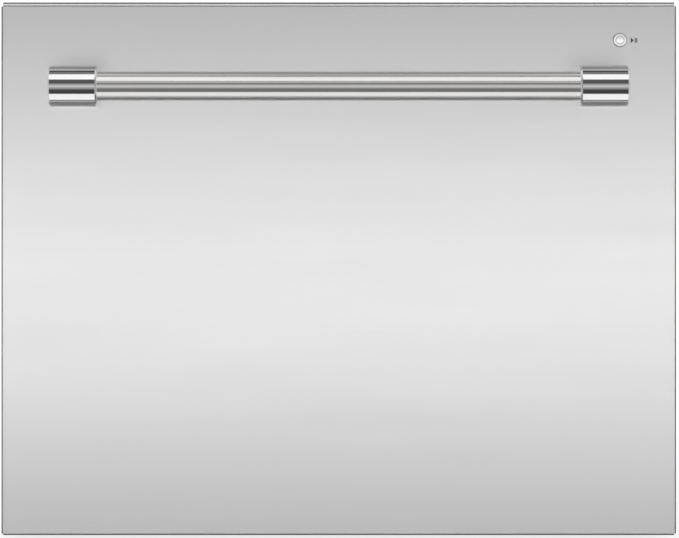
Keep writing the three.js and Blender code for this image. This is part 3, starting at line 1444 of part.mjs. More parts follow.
function drainPump() {
  const under = TUB_FLOOR - TUB_WALL - GAP;
  const z = under - PUMP_DIAMETER / 2 - PUMP_HANG;
  const from = TUB_CENTRE_Y - PUMP_LENGTH / 2;
  const radius = PUMP_DIAMETER / 2;
  const body = turned(
    [
      [0, from],
      [radius - 5, from],
      [radius - 5, from + PUMP_NECK_LENGTH],
      [radius, from + PUMP_NECK_LENGTH + 2],
      [radius, from + PUMP_LENGTH],
      [0, from + PUMP_LENGTH],
    ],
    PIVOT_SIDES + 2,
    Y_AXIS,
    [PUMP_X, 0, z],
  );
  const inletY = TUB_CENTRE_Y + PUMP_LENGTH / 4;
  const inletZ = SUMP_FLOOR + PUMP_INLET / 2 - 1;
  const inletTip = -SUMP_RADIUS - TUB_WALL - 6 * GAP; // the sump's wall curves away from it
  const inlet = rod([PUMP_X, inletY, inletZ], [inletTip, inletY, inletZ], PUMP_INLET, FITTING_SIDES);
  const outlet = rod(
    [PUMP_X, from + PUMP_LENGTH - 2, z],
    [PUMP_X, from + PUMP_LENGTH + PUMP_OUTLET + 2, z],
    PUMP_OUTLET,
    FITTING_SIDES,
  );
  const saddle = block(
    PUMP_X - PUMP_OUTLET / 2,
    PUMP_X + PUMP_OUTLET / 2,
    inletY - PUMP_INLET,
    inletY + PUMP_INLET,
    z + radius - 4,
    under,
  );
  return joined(body, inlet, outlet, saddle);
}

// ---------------------------------------------------------------- dish rack

const wire = (from, to, diameter) => rod(from, to, diameter, WIRE_SIDES);
const hingeWire = (from, to, diameter) => rod(from, to, diameter, HINGE_WIRE_SIDES);

// Evenly spaced stations from -half to half.
const stations = (half, count) =>
  Array.from({ length: count }, (_, i) => -half + (2 * half * i) / (count - 1));

const CROSS_WIRES_Y = stations(RACK_HALF_DEPTH, 7).slice(1, -1);
const LONG_WIRES_X = stations(RACK_HALF_WIDTH, 9).slice(1, -1);

// A clip that holds a hinge wire: a small block with a bore that runs along Y, through (x, z).
function hingeClip(x, y, z, diameter) {
  const half = CLIP_LENGTH / 2;
  const reach = diameter / 2 + PLAY + CLIP_WALL;
  return {
    body: block(x - reach, x + reach, y - half, y + half, z - reach, z + reach),
    bore: hingeWire(
      [x, y - half - OVERCUT, z],
      [x, y + half + OVERCUT, z],
      diameter + 2 * PLAY,
    ),
  };
}

// Each row of tines stands over one of the floor's long wires.
const TINE_SPACE = RACK_SIDE_TOP - TINE_HINGE_Z;
const TINE_ROWS = [
  { name: "plate_tines_outer", x: LONG_WIRES_X[0], height: PLATE_TINE_SHARE * TINE_SPACE },
  { name: "plate_tines_inner", x: LONG_WIRES_X[2], height: PLATE_TINE_SHARE * TINE_SPACE },
  { name: "bowl_tines", x: LONG_WIRES_X[4], height: BOWL_TINE_SHARE * TINE_SPACE },
];
const TINE_CLIP_Y = [-1, 1].map((side) => (side * (TINE_SPAN - TINE_PITCH)) / 2);

function rackFloor() {
  const w = RACK_HALF_WIDTH;
  const d = RACK_HALF_DEPTH;
  const z = RACK_FLOOR_Z;
  const end = RAIL_WIRE / 2;
  const frame = [-1, 1].flatMap((side) => [
    wire([-w - end, side * d, z], [w + end, side * d, z], RAIL_WIRE),
    wire([side * w, -d - end, z], [side * w, d + end, z], RAIL_WIRE),
  ]);
  const crossWires = CROSS_WIRES_Y.map((y) => wire([-w, y, z], [w, y, z], GRID_WIRE));
  const longWires = LONG_WIRES_X.map((x) =>
    wire([x, -d, UPPER_WIRE_Z], [x, d, UPPER_WIRE_Z], GRID_WIRE),
  );
  const legs = [CROSS_WIRES_Y.at(0), CROSS_WIRES_Y.at(-1)].flatMap((y) =>
    [LONG_WIRES_X.at(0), LONG_WIRES_X.at(-1)].map((x) =>
      wire([x, y, TUB_FLOOR + GAP], [x, y, z], RACK_LEG),
    ),
  );
  const clips = TINE_ROWS.flatMap(({ x }) =>
    TINE_CLIP_Y.map((y) => hingeClip(x, y, TINE_HINGE_Z, TINE_BASE_WIRE)),
  );
  const wires = joined(frame, crossWires, longWires, legs, clips.map((clip) => clip.body));
  return cut(wires, clips.map((clip) => clip.bore));
}

// How far a wall of the rack has leant out at a height.
const flareAt = (z) => (RACK_FLARE * (z - RACK_FLOOR_Z)) / (RACK_SIDE_TOP - RACK_FLOOR_Z);
const WALL_FOOT_Z = RACK_FLOOR_Z + RAIL_WIRE / 2 + GAP;

// A side wall of the rack, for the right-hand side. It carries the cup shelf's clips.
function rackSideWall() {
  const at = (y, z) => [RACK_HALF_WIDTH + flareAt(z), y, z];
  const reach = RACK_HALF_DEPTH - RAIL_WIRE;
  const rails = [(WALL_FOOT_Z + RACK_SIDE_TOP) / 2, RACK_SIDE_TOP].map((z) =>
    wire(at(-reach, z), at(reach, z), RAIL_WIRE),
  );
  const uprights = stations(reach - GRID_WIRE, 7).map((y) =>
    wire(at(y, WALL_FOOT_Z), at(y, RACK_SIDE_TOP), GRID_WIRE),
  );
  const clips = [-SHELF_CLIP_Y, SHELF_CLIP_Y].map((y) =>
    hingeClip(SHELF_HINGE_X, y, RACK_SIDE_TOP, SHELF_WIRE),
  );
  const wires = joined(rails, uprights, clips.map((clip) => clip.body));
  return cut(wires, clips.map((clip) => clip.bore));
}

// An end wall of the rack, for the rear. It stands between the side walls.
function rackEndWall() {
  const at = (x, z) => [x, RACK_HALF_DEPTH + flareAt(z), z];
  const reach = RACK_HALF_WIDTH - RAIL_WIRE - GAP;
  const rails = [(WALL_FOOT_Z + RACK_END_TOP) / 2, RACK_END_TOP].map((z) =>
    wire(at(-reach, z), at(reach, z), RAIL_WIRE),
  );
  const uprights = LONG_WIRES_X.map((x) =>
    wire(at(x, RACK_FLOOR_TOP + GAP), at(x, RACK_END_TOP), GRID_WIRE),
  );
  return joined(rails, uprights);
}

// A row of tines about its hinge wire, which runs along Y at the origin.
function tineRow(height) {
  const half = TINE_SPAN / 2 + TINE_BASE_WIRE * 2;
  const base = hingeWire([0, -half, 0], [0, half, 0], TINE_BASE_WIRE);
  const tines = stations(TINE_SPAN / 2, TINE_COUNT).map((y) => {
    const profile = [
      [0, 0],
      [TINE_WIRE / 2, 0],
      [TINE_WIRE / 2, height - TINE_WIRE],
      [0, height],
    ];
    return turned(profile, WIRE_SIDES, Z_AXIS, [0, y, 0]);
  });
  return joined(base, tines);
}

// A cup shelf about its hinge wire, reaching towards +X.
function cupShelf() {
  const half = SHELF_LENGTH / 2;
  const end = SHELF_WIRE / 2;
  const frame = [
    hingeWire([0, -half, 0], [0, half, 0], SHELF_WIRE),
    wire([SHELF_DEPTH, -half, 0], [SHELF_DEPTH, half, 0], SHELF_WIRE),
    wire([0, -half, 0], [SHELF_DEPTH + end, -half, 0], SHELF_WIRE),
    wire([0, half, 0], [SHELF_DEPTH + end, half, 0], SHELF_WIRE),
  ];
  const cross = stations(half, SHELF_BAYS + 1)
    .slice(1, -1)
    .map((y) => wire([0, y, 0], [SHELF_DEPTH, y, 0], GRID_WIRE));
  return joined(frame, cross);
}

// The cutlery basket about the middle of its base.
function cutleryBasket() {
  const w = BASKET_WIDTH / 2;
  const l = BASKET_LENGTH / 2;
  const h = BASKET_HEIGHT;
  const wall = BASKET_WALL;
  const under = h - BASKET_RIM;
  const ring = (inset, z) => tubRing(w - inset, l - inset, 8 - Math.min(inset, 5), z, 0, 2);
  const shell = lofted([
    ring(4, 0),
    ring(1, under),
    ring(0, under),
    ring(0, h),
    ring(wall, h),
    ring(wall + 1, under),
    ring(wall + 4, wall),
  ]);
  const cell = (2 * (l - wall)) / BASKET_CELLS;
  const dividers = Array.from({ length: BASKET_CELLS - 1 }, (_, i) => {
    const y = -l + wall + (i + 1) * cell;
    const half = BASKET_DIVIDER / 2;
    return block(-w + wall, w - wall, y - half, y + half, wall - BITE, h - BASKET_DIVIDER_DROP);
  });
  const gripHalf = BASKET_GRIP_WIDTH / 2;
  const gripWall = BASKET_GRIP_WALL / 2;
  const gripTop = h + BASKET_GRIP_HEIGHT;
  const handlePosts = [-cell, cell].map((y) =>
    block(-gripHalf, gripHalf, y - gripWall, y + gripWall, h - 20, gripTop - BASKET_GRIP_BAR / 2),
  );
  const grip = block(
    -gripHalf,
    gripHalf,
    -cell - gripWall,
    cell + gripWall,
    gripTop - BASKET_GRIP_BAR,
    gripTop,
  );
  const low = BASKET_WINDOW_BOTTOM * h;
  const high = BASKET_WINDOW_TOP * h;
  const sideWindows = stations(l - cell / 2 - wall, BASKET_CELLS).map((y) => {
    const half = BASKET_WINDOW_WIDTH / 2;
    return block(-w - OVERCUT, w + OVERCUT, y - half, y + half, low, high);
  });
  const endWindows = [-w / 2 + 4, w / 2 - 4].map((x) => {
    const half = BASKET_END_WINDOW_WIDTH / 2;
    return block(x - half, x + half, -l - OVERCUT, l + OVERCUT, low, high);
  });
  const slotReach = l - BASKET_FLOOR_SLOT;
  const floorHoles = [-BASKET_FLOOR_PITCH, 0, BASKET_FLOOR_PITCH].map((x) => {
    const half = BASKET_FLOOR_SLOT / 2;
    return block(x - half, x + half, -slotReach, slotReach, -OVERCUT, wall + 0.5);
  });
  const openWall = cut(shell, sideWindows, endWindows, floorHoles);
  return joined(openWall, dividers, handlePosts, grip);
}

// ---------------------------------------------------------------- detergent dispenser

const dispenserWallY = (z) => TUB_CENTRE_Y - TUB_HALF_DEPTH + draftAt(z);
const DISPENSER_BACK = dispenserWallY(DISPENSER_BOTTOM) + GAP;
const DISPENSER_FACE = DISPENSER_BACK + DISPENSER_DEPTH;
const CUP_X = DISPENSER_X - DISPENSER_WIDTH / 2 + DISPENSER_EDGE + CUP_WIDTH / 2;
const CUP_Z = DISPENSER_BOTTOM + DISPENSER_HEIGHT / 2;
const CAP_X = DISPENSER_X + DISPENSER_WIDTH / 2 - 12 - CAP_DIAMETER / 2;
const DOOR_PIVOT_Y = DISPENSER_FACE + GAP + 2.5;
const DOOR_PIVOT_Z = CUP_Z - CUP_HEIGHT / 2 - 5;

function dispenserBody() {
  const body = extruded(
    "y",
    roundedRectangle(
      DISPENSER_X - DISPENSER_WIDTH / 2,
      DISPENSER_X + DISPENSER_WIDTH / 2,
      DISPENSER_BOTTOM,
      DISPENSER_BOTTOM + DISPENSER_HEIGHT,
      DISPENSER_CORNER,
    ),
    DISPENSER_BACK,
    DISPENSER_FACE,
    DISPENSER_BEVEL,
    4,
  );
  const detergentCup = extruded(
    "y",
    roundedRectangle(
      CUP_X - CUP_WIDTH / 2,
      CUP_X + CUP_WIDTH / 2,
      CUP_Z - CUP_HEIGHT / 2,
      CUP_Z + CUP_HEIGHT / 2,
      CUP_CORNER,
    ),
    DISPENSER_BACK + CUP_FLOOR,
    DISPENSER_FACE + OVERCUT,
    0,
    2,
  );
  const capSocket = rod(
    [CAP_X, DISPENSER_FACE - CAP_PLUG - PLAY, CUP_Z],
    [CAP_X, DISPENSER_FACE + OVERCUT, CUP_Z],
    CAP_PLUG_DIAMETER + 2 * PLAY,
    CAP_SIDES,
  );
  const ears = [-1, 1].map((side) => {
    const half = DOOR_EAR / 2;
    const x = CUP_X + side * (CUP_WIDTH / 2 + DOOR_LAP + PLAY + half);
    return block(
      x - half,
      x + half,
      DISPENSER_FACE - BITE,
      DOOR_PIVOT_Y + 2.6,
      DOOR_PIVOT_Z - 3,
      DOOR_PIVOT_Z + 3,
    );
  });
  const pinReach = CUP_WIDTH / 2 + 2 * DOOR_LAP;
  const pins = rod(
    [CUP_X - pinReach, DOOR_PIVOT_Y, DOOR_PIVOT_Z],
    [CUP_X + pinReach, DOOR_PIVOT_Y, DOOR_PIVOT_Z],
    DOOR_PIN,
    6,
  );
  return joined(cut(body, detergentCup, capSocket), ears, pins);
}

// The door about its hinge, which runs along X at the origin. It covers the detergent cup.
function dispenserDoor() {
  const half = CUP_WIDTH / 2 + DOOR_LAP;
  const back = GAP + DISPENSER_FACE - DOOR_PIVOT_Y;
  const face = back + DOOR_THICK;
  const leaf = extruded(
    "y",
    roundedRectangle(-half, half, -1, CUP_HEIGHT + 8, 3),
    back,
    face,
    0.8,
    2,
  );
  const knuckle = rod([-half, 0, 0], [half, 0, 0], DOOR_KNUCKLE, 10);
  const bore = rod([-half - OVERCUT, 0, 0], [half + OVERCUT, 0, 0], DOOR_PIN + 2 * GAP, 8);
  const gripHalf = CUP_WIDTH / 4 - 1;
  const grip = block(-gripHalf, gripHalf, face - 0.5, face + 2, CUP_HEIGHT - 6, CUP_HEIGHT - 3);
  return cut(joined(leaf, knuckle, grip), bore);
}

// The rinse-aid cap about its own axis, which runs along Y, with y = 0 at the dispenser's face.
function rinseAidCap() {
  const radius = CAP_DIAMETER / 2;
  const body = turned(
    [
      [0, -CAP_PLUG],
      [CAP_PLUG_DIAMETER / 2, -CAP_PLUG],
      [CAP_PLUG_DIAMETER / 2, GAP],
      [radius, GAP],
      [radius, CAP_RIM],
      [radius - 1.6, CAP_THICK],
      [0, CAP_THICK],
    ],
    CAP_SIDES,
    Y_AXIS,
  );
  const reach = radius - 4;
  const grip = block(
    -reach,
    reach,
    CAP_THICK - BITE,
    CAP_GRIP,
    -CAP_GRIP_WIDTH / 2,
    CAP_GRIP_WIDTH / 2,
  );
  return joined(body, grip);
}

// ---------------------------------------------------------------- folding link

// One arm of the link from a pivot at the origin towards +X: a channel open at the top, with a
// round eye at each end.
function linkArm(farPin) {
  const half = LINK_WIDTH / 2;
  const shape = new THREE.Shape();
  shape.absarc(0, 0, half, 90 * deg, 270 * deg);
  shape.absarc(LINK_LENGTH, 0, half, 270 * deg, 450 * deg);
  const body = extruded("z", shape, 0, LINK_THICK, 0, 8);
  const trough = extruded(
    "z",
    roundedRectangle(
      half + LINK_WEB_ROOM,
      LINK_LENGTH - half - LINK_WEB_ROOM,
      LINK_WALL - half,
      half - LINK_WALL,
      8,
    ),
    LINK_WALL,
    LINK_THICK + OVERCUT,
    0,
    2,
  );
  const bore = (x) =>
    rod([x, 0, -OVERCUT], [x, 0, LINK_THICK + OVERCUT], LINK_PIN + 2 * GAP, PIVOT_SIDES);
  const arm = cut(body, trough, bore(0));
  if (!farPin) return cut(arm, bore(LINK_LENGTH));
  const pin = rod(
    [LINK_LENGTH, 0, LINK_THICK - OVERCUT],
    [LINK_LENGTH, 0, 2 * LINK_THICK + PLAY],
    LINK_PIN,
    PIVOT_SIDES,
  );
  return joined(arm, pin);
}

// The bracket under the tub whose pin meets the front arm's eye from above.
function linkTubBracket() {
  const top = TUB_FLOOR - TUB_WALL - GAP;
  const eyeTop = LINK_FRONT_Z + LINK_THICK + PLAY;
  const half = LINK_WIDTH - 2;
  const plate = block(
    LINK_X - half,
    LINK_X + half,
    LINK_TUB_Y - LINK_WIDTH - 4,
    LINK_TUB_Y + LINK_PIN,
    top - LINK_WALL,
    top,
  );
  const post = turned(
    [
      [0, eyeTop],
      [LINK_PIN / 2 + 3, eyeTop],
      [LINK_PIN / 2 + 3, top - 12],
      [LINK_PIN / 2 + 6, top - 2],
      [0, top - 2],
    ],
    PIVOT_SIDES,
    Z_AXIS,
    [LINK_X, LINK_TUB_Y, 0],
  );
  return joined(plate, post);
}

// ---------------------------------------------------------------- assembly

const appliance = new THREE.Group();
appliance.name = "dishwasher_drawer";
appliance.position.y = -(FRONTMOST + REARMOST) / 2;

const chassis = new THREE.Group();
const drawer = new THREE.Group();
const lid = new THREE.Group();
const rack = new THREE.Group();
appliance.add(chassis, drawer, lid);
drawer.add(rack);
rack.position.y = TUB_CENTRE_Y;

const rightSide = chassisSide();
part(chassis, "chassis_side_left", mirrored(rightSide), zincSheet);
part(chassis, "chassis_side_right", rightSide, zincSheet);
part(chassis, "chassis_rear_panel", chassisRearPanel(), zincSheet);
part(chassis, "chassis_top_panel", chassisTopPanel(), zincSheet);
part(chassis, "chassis_base_pan", chassisBasePan(), zincSheet);
for (const fitting of REAR_FITTINGS) {
  part(chassis, fitting.name, rearFitting(fitting), darkPlastic);
}
const rightBracket = mountingBracket();
part(chassis, "mounting_bracket_left", mirrored(rightBracket), zincSheet);
part(chassis, "mounting_bracket_right", rightBracket, zincSheet);
for (const [name, x, y] of FEET) {
  part(chassis, `foot_${name}`, foot(), darkPlastic, [x, y, 0]);
}

const members = runnerMembers();
for (const [side, sign] of SIDES) {
  const handed = (made) => (sign < 0 ? mirrored(made) : made);
  part(chassis, `runner_${side}_outer`, handed(members.outer), runnerSteel);
  part(chassis, `runner_${side}_middle`, handed(members.middle), runnerSteel);
  part(drawer, `runner_${side}_inner`, handed(members.inner), runnerSteel);
  part(chassis, `lid_actuator_${side}`, handed(lidActuator()), greyPlastic);
}

part(lid, "lid_panel", lidPanel(), tubPlastic);
part(lid, "lid_seal", lidSeal(), sealRubber);

part(drawer, "tub", tub(), tubPlastic);
part(drawer, "front_skin", frontSkin(), brushedSteel);
part(drawer, "front_inner_frame", frontInnerFrame(), greyPlastic);
part(drawer, "front_sound_pad", soundPad(), padFelt);
part(drawer, "control_strip", controlStrip(), greyPlastic);
part(drawer, "control_module", controlModule(), darkPlastic);
KEYS.forEach((x, i) => {
  const top = PANEL_TOP + KEY_PROUD - KEY_LENGTH;
  part(drawer, `control_key_${i + 1}`, turned(key(KEY_DIAMETER, KEY_LENGTH), KEY_SIDES), darkPlastic, [
    x,
    KEY_Y,
    top,
  ]);
});
part(
  drawer,
  "start_button",
  turned(key(BADGE_DIAMETER, BADGE_LENGTH), BADGE_SIDES, Y_AXIS.clone().negate()),
  polishedSteel,
  [BADGE_X, FACE_Y - BADGE_PROUD + BADGE_LENGTH, BADGE_Z],
);

const rightPost = handlePost();
part(drawer, "handle_bar", handleBar(), brushedSteel);
part(drawer, "handle_post_left", mirrored(rightPost), polishedSteel, [-POST_X, BAR_Y, HANDLE_Z]);
part(drawer, "handle_post_right", rightPost, polishedSteel, [POST_X, BAR_Y, HANDLE_Z]);

part(drawer, "filter_plate", filterPlate(), filterSteel);
part(drawer, "drain_filter", drainFilter(), greyPlastic, [
  DRAIN_FILTER_X,
  TUB_CENTRE_Y,
  TUB_FLOOR + GAP + FILTER_THICK,
]);
part(drawer, "spray_hub", sprayHub(), greyPlastic);
part(drawer, "spray_arm", sprayArm(), greyPlastic, [0, TUB_CENTRE_Y, SPRAY_BOTTOM]);
part(drawer, "wash_motor", washMotor(), darkPlastic);
part(drawer, "drain_pump", drainPump(), darkPlastic);

part(drawer, "dispenser_body", dispenserBody(), greyPlastic);
part(drawer, "dispenser_door", dispenserDoor(), greyPlastic, [CUP_X, DOOR_PIVOT_Y, DOOR_PIVOT_Z]);
part(drawer, "rinse_aid_cap", rinseAidCap(), darkPlastic, [CAP_X, DISPENSER_FACE, CUP_Z]);

part(rack, "rack_floor", rackFloor(), rackCoat);
const rightWall = rackSideWall();
part(rack, "rack_wall_left", mirrored(rightWall), rackCoat);
part(rack, "rack_wall_right", rightWall, rackCoat);
part(rack, "rack_wall_rear", rackEndWall(), rackCoat);
const frontWall = part(rack, "rack_wall_front", rackEndWall(), rackCoat);
frontWall.rotation.z = 180 * deg;
for (const { name, x, height } of TINE_ROWS) {
  part(rack, name, tineRow(height), rackCoat, [x, 0, TINE_HINGE_Z]);
}
part(rack, "cup_shelf_left", cupShelf(), rackCoat, [-SHELF_HINGE_X, 0, RACK_SIDE_TOP]);
part(rack, "cup_shelf_right", mirrored(cupShelf()), rackCoat, [SHELF_HINGE_X, 0, RACK_SIDE_TOP]);
part(rack, "cutlery_basket", cutleryBasket(), basketPlastic, [BASKET_X, 0, RACK_FLOOR_TOP + GAP]);

part(drawer, "link_tub_bracket", linkTubBracket(), greyPlastic);
const rearArm = part(appliance, "link_arm_rear", linkArm(true), darkPlastic, [
  LINK_X,
  LINK_CHASSIS_Y,
  LINK_Z,
]);
rearArm.rotation.z = (180 + LINK_REST_DEG) * deg;
const kneeX = LINK_X - LINK_LENGTH * Math.cos(LINK_REST_DEG * deg);
const kneeY = LINK_CHASSIS_Y - LINK_LENGTH * Math.sin(LINK_REST_DEG * deg);
const frontArm = part(appliance, "link_arm_front", linkArm(false), darkPlastic, [
  kneeX,
  kneeY,
  LINK_FRONT_Z,
]);
frontArm.rotation.z = -LINK_REST_DEG * deg;

export default appliance;
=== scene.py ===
import json
import math

import bmesh
import bpy
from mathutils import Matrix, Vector


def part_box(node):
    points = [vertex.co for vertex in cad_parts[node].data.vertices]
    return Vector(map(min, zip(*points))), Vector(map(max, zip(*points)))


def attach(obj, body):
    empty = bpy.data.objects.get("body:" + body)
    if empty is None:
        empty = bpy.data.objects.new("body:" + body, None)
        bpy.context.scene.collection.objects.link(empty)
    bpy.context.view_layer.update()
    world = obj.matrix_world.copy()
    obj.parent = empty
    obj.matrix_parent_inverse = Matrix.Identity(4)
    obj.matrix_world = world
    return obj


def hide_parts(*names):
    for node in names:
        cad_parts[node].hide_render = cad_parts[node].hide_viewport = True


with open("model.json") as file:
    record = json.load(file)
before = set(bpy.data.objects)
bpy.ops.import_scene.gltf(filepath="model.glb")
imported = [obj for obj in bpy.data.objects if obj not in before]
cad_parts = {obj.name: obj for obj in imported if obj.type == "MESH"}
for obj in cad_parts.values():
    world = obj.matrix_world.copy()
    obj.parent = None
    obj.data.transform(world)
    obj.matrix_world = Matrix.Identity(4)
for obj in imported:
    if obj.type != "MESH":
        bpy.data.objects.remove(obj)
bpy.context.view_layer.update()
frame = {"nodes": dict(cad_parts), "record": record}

# A built-in dishwasher drawer. Lengths below are in millimetres, and MM turns them into metres.
MM = 0.001

# ---------------- the photograph's frame

PHOTO_WIDTH = 679
PANEL_LEFT_PX, PANEL_RIGHT_PX = 1.4, 676.1
PANEL_TOP_PX, PANEL_BOTTOM_PX = 1.8, 535.3
PHOTO_CENTRE_X_PX, PHOTO_CENTRE_Y_PX = 339.5, 269.0
CAMERA_DISTANCE = 2379.0  # from the panel's face
SENSOR_WIDTH = 36.0

# ---------------- driving sizes

SKIN_TOP_BEND = 4.0
SKIN_EDGE_BEND = 1.5
SKIN_TOP_RETURN = 8.0
SKIN_SIDE_RETURN = 18.0
SKIN_SHEET = 1.0
BUTTON_CLEARANCE = 0.3
POST_CHAMFER = 1.3
SOCKET_CLEARANCE = 0.3
SOCKET_DEPTH = 6.0

SLOT_COLOUR = {m["slot"]: (*m["base_color"], 1.0) for m in frame["record"]["materials"]}
SLOT_OF = {part["node"]: part["material_slot"] for part in frame["record"]["subparts"]}
BODIES = frame["record"]["behaviour"]["bodies"]
BODY_OF = {node: body for body, nodes in BODIES.items() for node in nodes}

SKIN_LOW, SKIN_HIGH = (Vector(corner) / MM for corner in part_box("front_skin"))


# ---------------- shader maths


class Wire:
    """One output of a node tree. Arithmetic on it adds Math nodes."""

    def __init__(self, nodes, socket):
        self.nodes = nodes
        self.socket = socket

    def math(self, operation, *others):
        values = dict(enumerate((self, *others)))
        return self.nodes.add("ShaderNodeMath", {"operation": operation}, values)

    def __add__(self, other):
        return self.math("ADD", other)

    def __sub__(self, other):
        return self.math("SUBTRACT", other)

    def __rsub__(self, other):
        return self.nodes.add("ShaderNodeMath", {"operation": "SUBTRACT"}, {0: other, 1: self})

    def __mul__(self, other):
        return self.math("MULTIPLY", other)

    def __truediv__(self, other):
        return self.math("DIVIDE", other)

    def __gt__(self, other):
        return self.math("GREATER_THAN", other)

    def __lt__(self, other):
        return self.math("LESS_THAN", other)

    def __abs__(self):
        return self.math("ABSOLUTE")

    __radd__ = __add__
    __rmul__ = __mul__


class Nodes:
    """The nodes of one material or of the world."""

    def __init__(self, owner):
        owner.use_nodes = True
        self.tree = owner.node_tree
        self.tree.nodes.clear()

    def add(self, kind, settings=None, sockets=None, output=0):
        """Adds a node with its settings first, then the values or links of its sockets."""
        node = self.tree.nodes.new(kind)
        for name, value in (settings or {}).items():
            if name == "stops":
                self.set_stops(node.color_ramp, value)
            else:
                setattr(node, name, value)
        for name, value in (sockets or {}).items():
            if isinstance(value, Wire):
                self.tree.links.new(value.socket, node.inputs[name])
            else:
                node.inputs[name].default_value = value
        return Wire(self, node.outputs[output]) if len(node.outputs) else None

    @staticmethod
    def set_stops(ramp, stops):
        while len(ramp.elements) < len(stops):
            ramp.elements.new(1.0)
        for element, (position, value) in zip(ramp.elements, stops):
            element.position = position
            element.color = (value, value, value, 1.0)

    def ramp(self, factor, stops):
        """A grey ramp through stops of (position, brightness)."""
        return self.add("ShaderNodeValToRGB", {"stops": stops}, {"Fac": factor})

    def blend(self, factor, first, second):
        settings = {"data_type": "RGBA"}
        return self.add("ShaderNodeMix", settings, {0: factor, 6: first, 7: second}, 2)

    def scaled(self, value, factors):
        settings = {"operation": "MULTIPLY"}
        return self.add("ShaderNodeVectorMath", settings, {0: value, 1: factors})

    def coordinates(self, place):
        return [self.add("ShaderNodeSeparateXYZ", {}, {0: place}, i) for i in range(3)]


class Finish(Nodes):
    """One material, drawn in the piece's own coordinates, in metres."""

    def __init__(self, slot):
        self.material = bpy.data.materials.new(slot)
        super().__init__(self.material)
        self.colour = SLOT_COLOUR[slot]
        self.place = self.add("ShaderNodeTexCoord", output="Object")

    def noise(self, scale, detail=2.0, roughness=0.5, stretch=None):
        place = self.scaled(self.place, stretch) if stretch else self.place
        sockets = {"Vector": place, "Scale": scale, "Detail": detail, "Roughness": roughness}
        return self.add("ShaderNodeTexNoise", {}, sockets)

    def shaded(self, share, amount):
        """The slot's own colour, darkened where share is high."""
        dark = (*(c * (1 - amount) for c in self.colour[:3]), 1.0)
        return self.blend(share, self.colour, dark)

    def surface(self, colour, roughness, metallic=0.0, height=None, depth=0.0, **others):
        """Ends the material in a Principled shader. Depth is how deep the height goes, in metres."""
        sockets = {"Base Color": colour, "Roughness": roughness, "Metallic": metallic}
        for name, value in others.items():
            sockets[name.replace("_", " ").title()] = value
        if height is not None:
            bump = {"Height": height, "Distance": depth, "Strength": 1.0}
            sockets["Normal"] = self.add("ShaderNodeBump", {}, bump)
        shader = self.add("ShaderNodeBsdfPrincipled", {}, sockets)
        self.add("ShaderNodeOutputMaterial", {}, {"Surface": shader})
        return self.material


# ---------------- finishes


PAINTED_FOLD_SHADE_WIDTH = 1.1  # how wide the painted shade line along a sharp fold is
# How strongly the painted shade lines show at the side and bottom fold edges, and their colour.
SIDE_FOLD_PAINTED_SHADE = 0.92
BOTTOM_FOLD_PAINTED_SHADE = 0.64
PAINTED_FOLD_SHADE_COLOUR = (0.02, 0.02, 0.02, 1.0)
# How far below the top bend the smoother zone with its painted highlight starts.
POLISH_AND_HIGHLIGHT_BELOW_BEND = 0.2


def spread(amount):
    """How far a grain along x spreads reflections up and down."""
    return {"anisotropic": amount, "anisotropic_rotation": 0.25}


def brushed_front_finish():
    """Stainless sheet with a fine horizontal grain, which spreads reflections up and down. The top
    fold is smoother with a painted highlight, and the other sharp edges have painted shade lines."""
    finish = Finish("brushed_front")
    fine = finish.noise(2.0, 3.0, 0.6, stretch=(7, 900, 900))
    broad = finish.noise(1.0, 2.0, stretch=(3, 60, 60))
    x, y, z = finish.coordinates(finish.place)
    at_face = y < (SKIN_LOW.y + PAINTED_FOLD_SHADE_WIDTH) * MM
    sides = abs(x) > (SKIN_HIGH.x - PAINTED_FOLD_SHADE_WIDTH) * MM
    bottom = z < (SKIN_LOW.z + PAINTED_FOLD_SHADE_WIDTH) * MM
    # Painted shade: a dark line along the sharp fold at each side and at the bottom of the face.
    painted_fold_shade = (sides * SIDE_FOLD_PAINTED_SHADE).math("MAXIMUM", bottom * BOTTOM_FOLD_PAINTED_SHADE) * at_face
    # The top fold is smoother, and its colour is left undarkened there, which paints a highlight on the
    # bend.
    polished_fold_and_highlight = z > (SKIN_HIGH.z - SKIN_TOP_BEND - POLISH_AND_HIGHLIGHT_BELOW_BEND) * MM
    grain = finish.shaded((0.8 + fine * 0.12 + broad * 0.08) * (1 - polished_fold_and_highlight), 0.31)
    colour = finish.blend(painted_fold_shade, grain, PAINTED_FOLD_SHADE_COLOUR)
    roughness = 0.334 + (fine - 0.5) * 0.04 + (broad - 0.5) * 0.02 - polished_fold_and_highlight * 0.2
    return finish.surface(colour, roughness, 1.0, fine, 0.000002, **spread(0.89))


def brushed_bar_finish():
    """A ground and half-polished bar: faint lines along its length."""
    finish = Finish("brushed_bar")
    lines = finish.noise(1.0, 3.0, 0.6, stretch=(4, 700, 700))
    roughness = 0.13 + (lines - 0.5) * 0.1
    return finish.surface(finish.shaded(lines, 0.12), roughness, 1.0, lines, 0.000004, **spread(0.4))


def polished_steel_finish():
    finish = Finish("polished_steel")
    smears = finish.noise(45.0, 3.0, 0.6)
    hairlines = finish.noise(1.0, 2.0, stretch=(60, 1500, 1500))
    roughness = 0.045 + smears * 0.03 + (hairlines > 0.68) * 0.02
    return finish.surface(finish.shaded(smears, 0.04), roughness, 1.0)


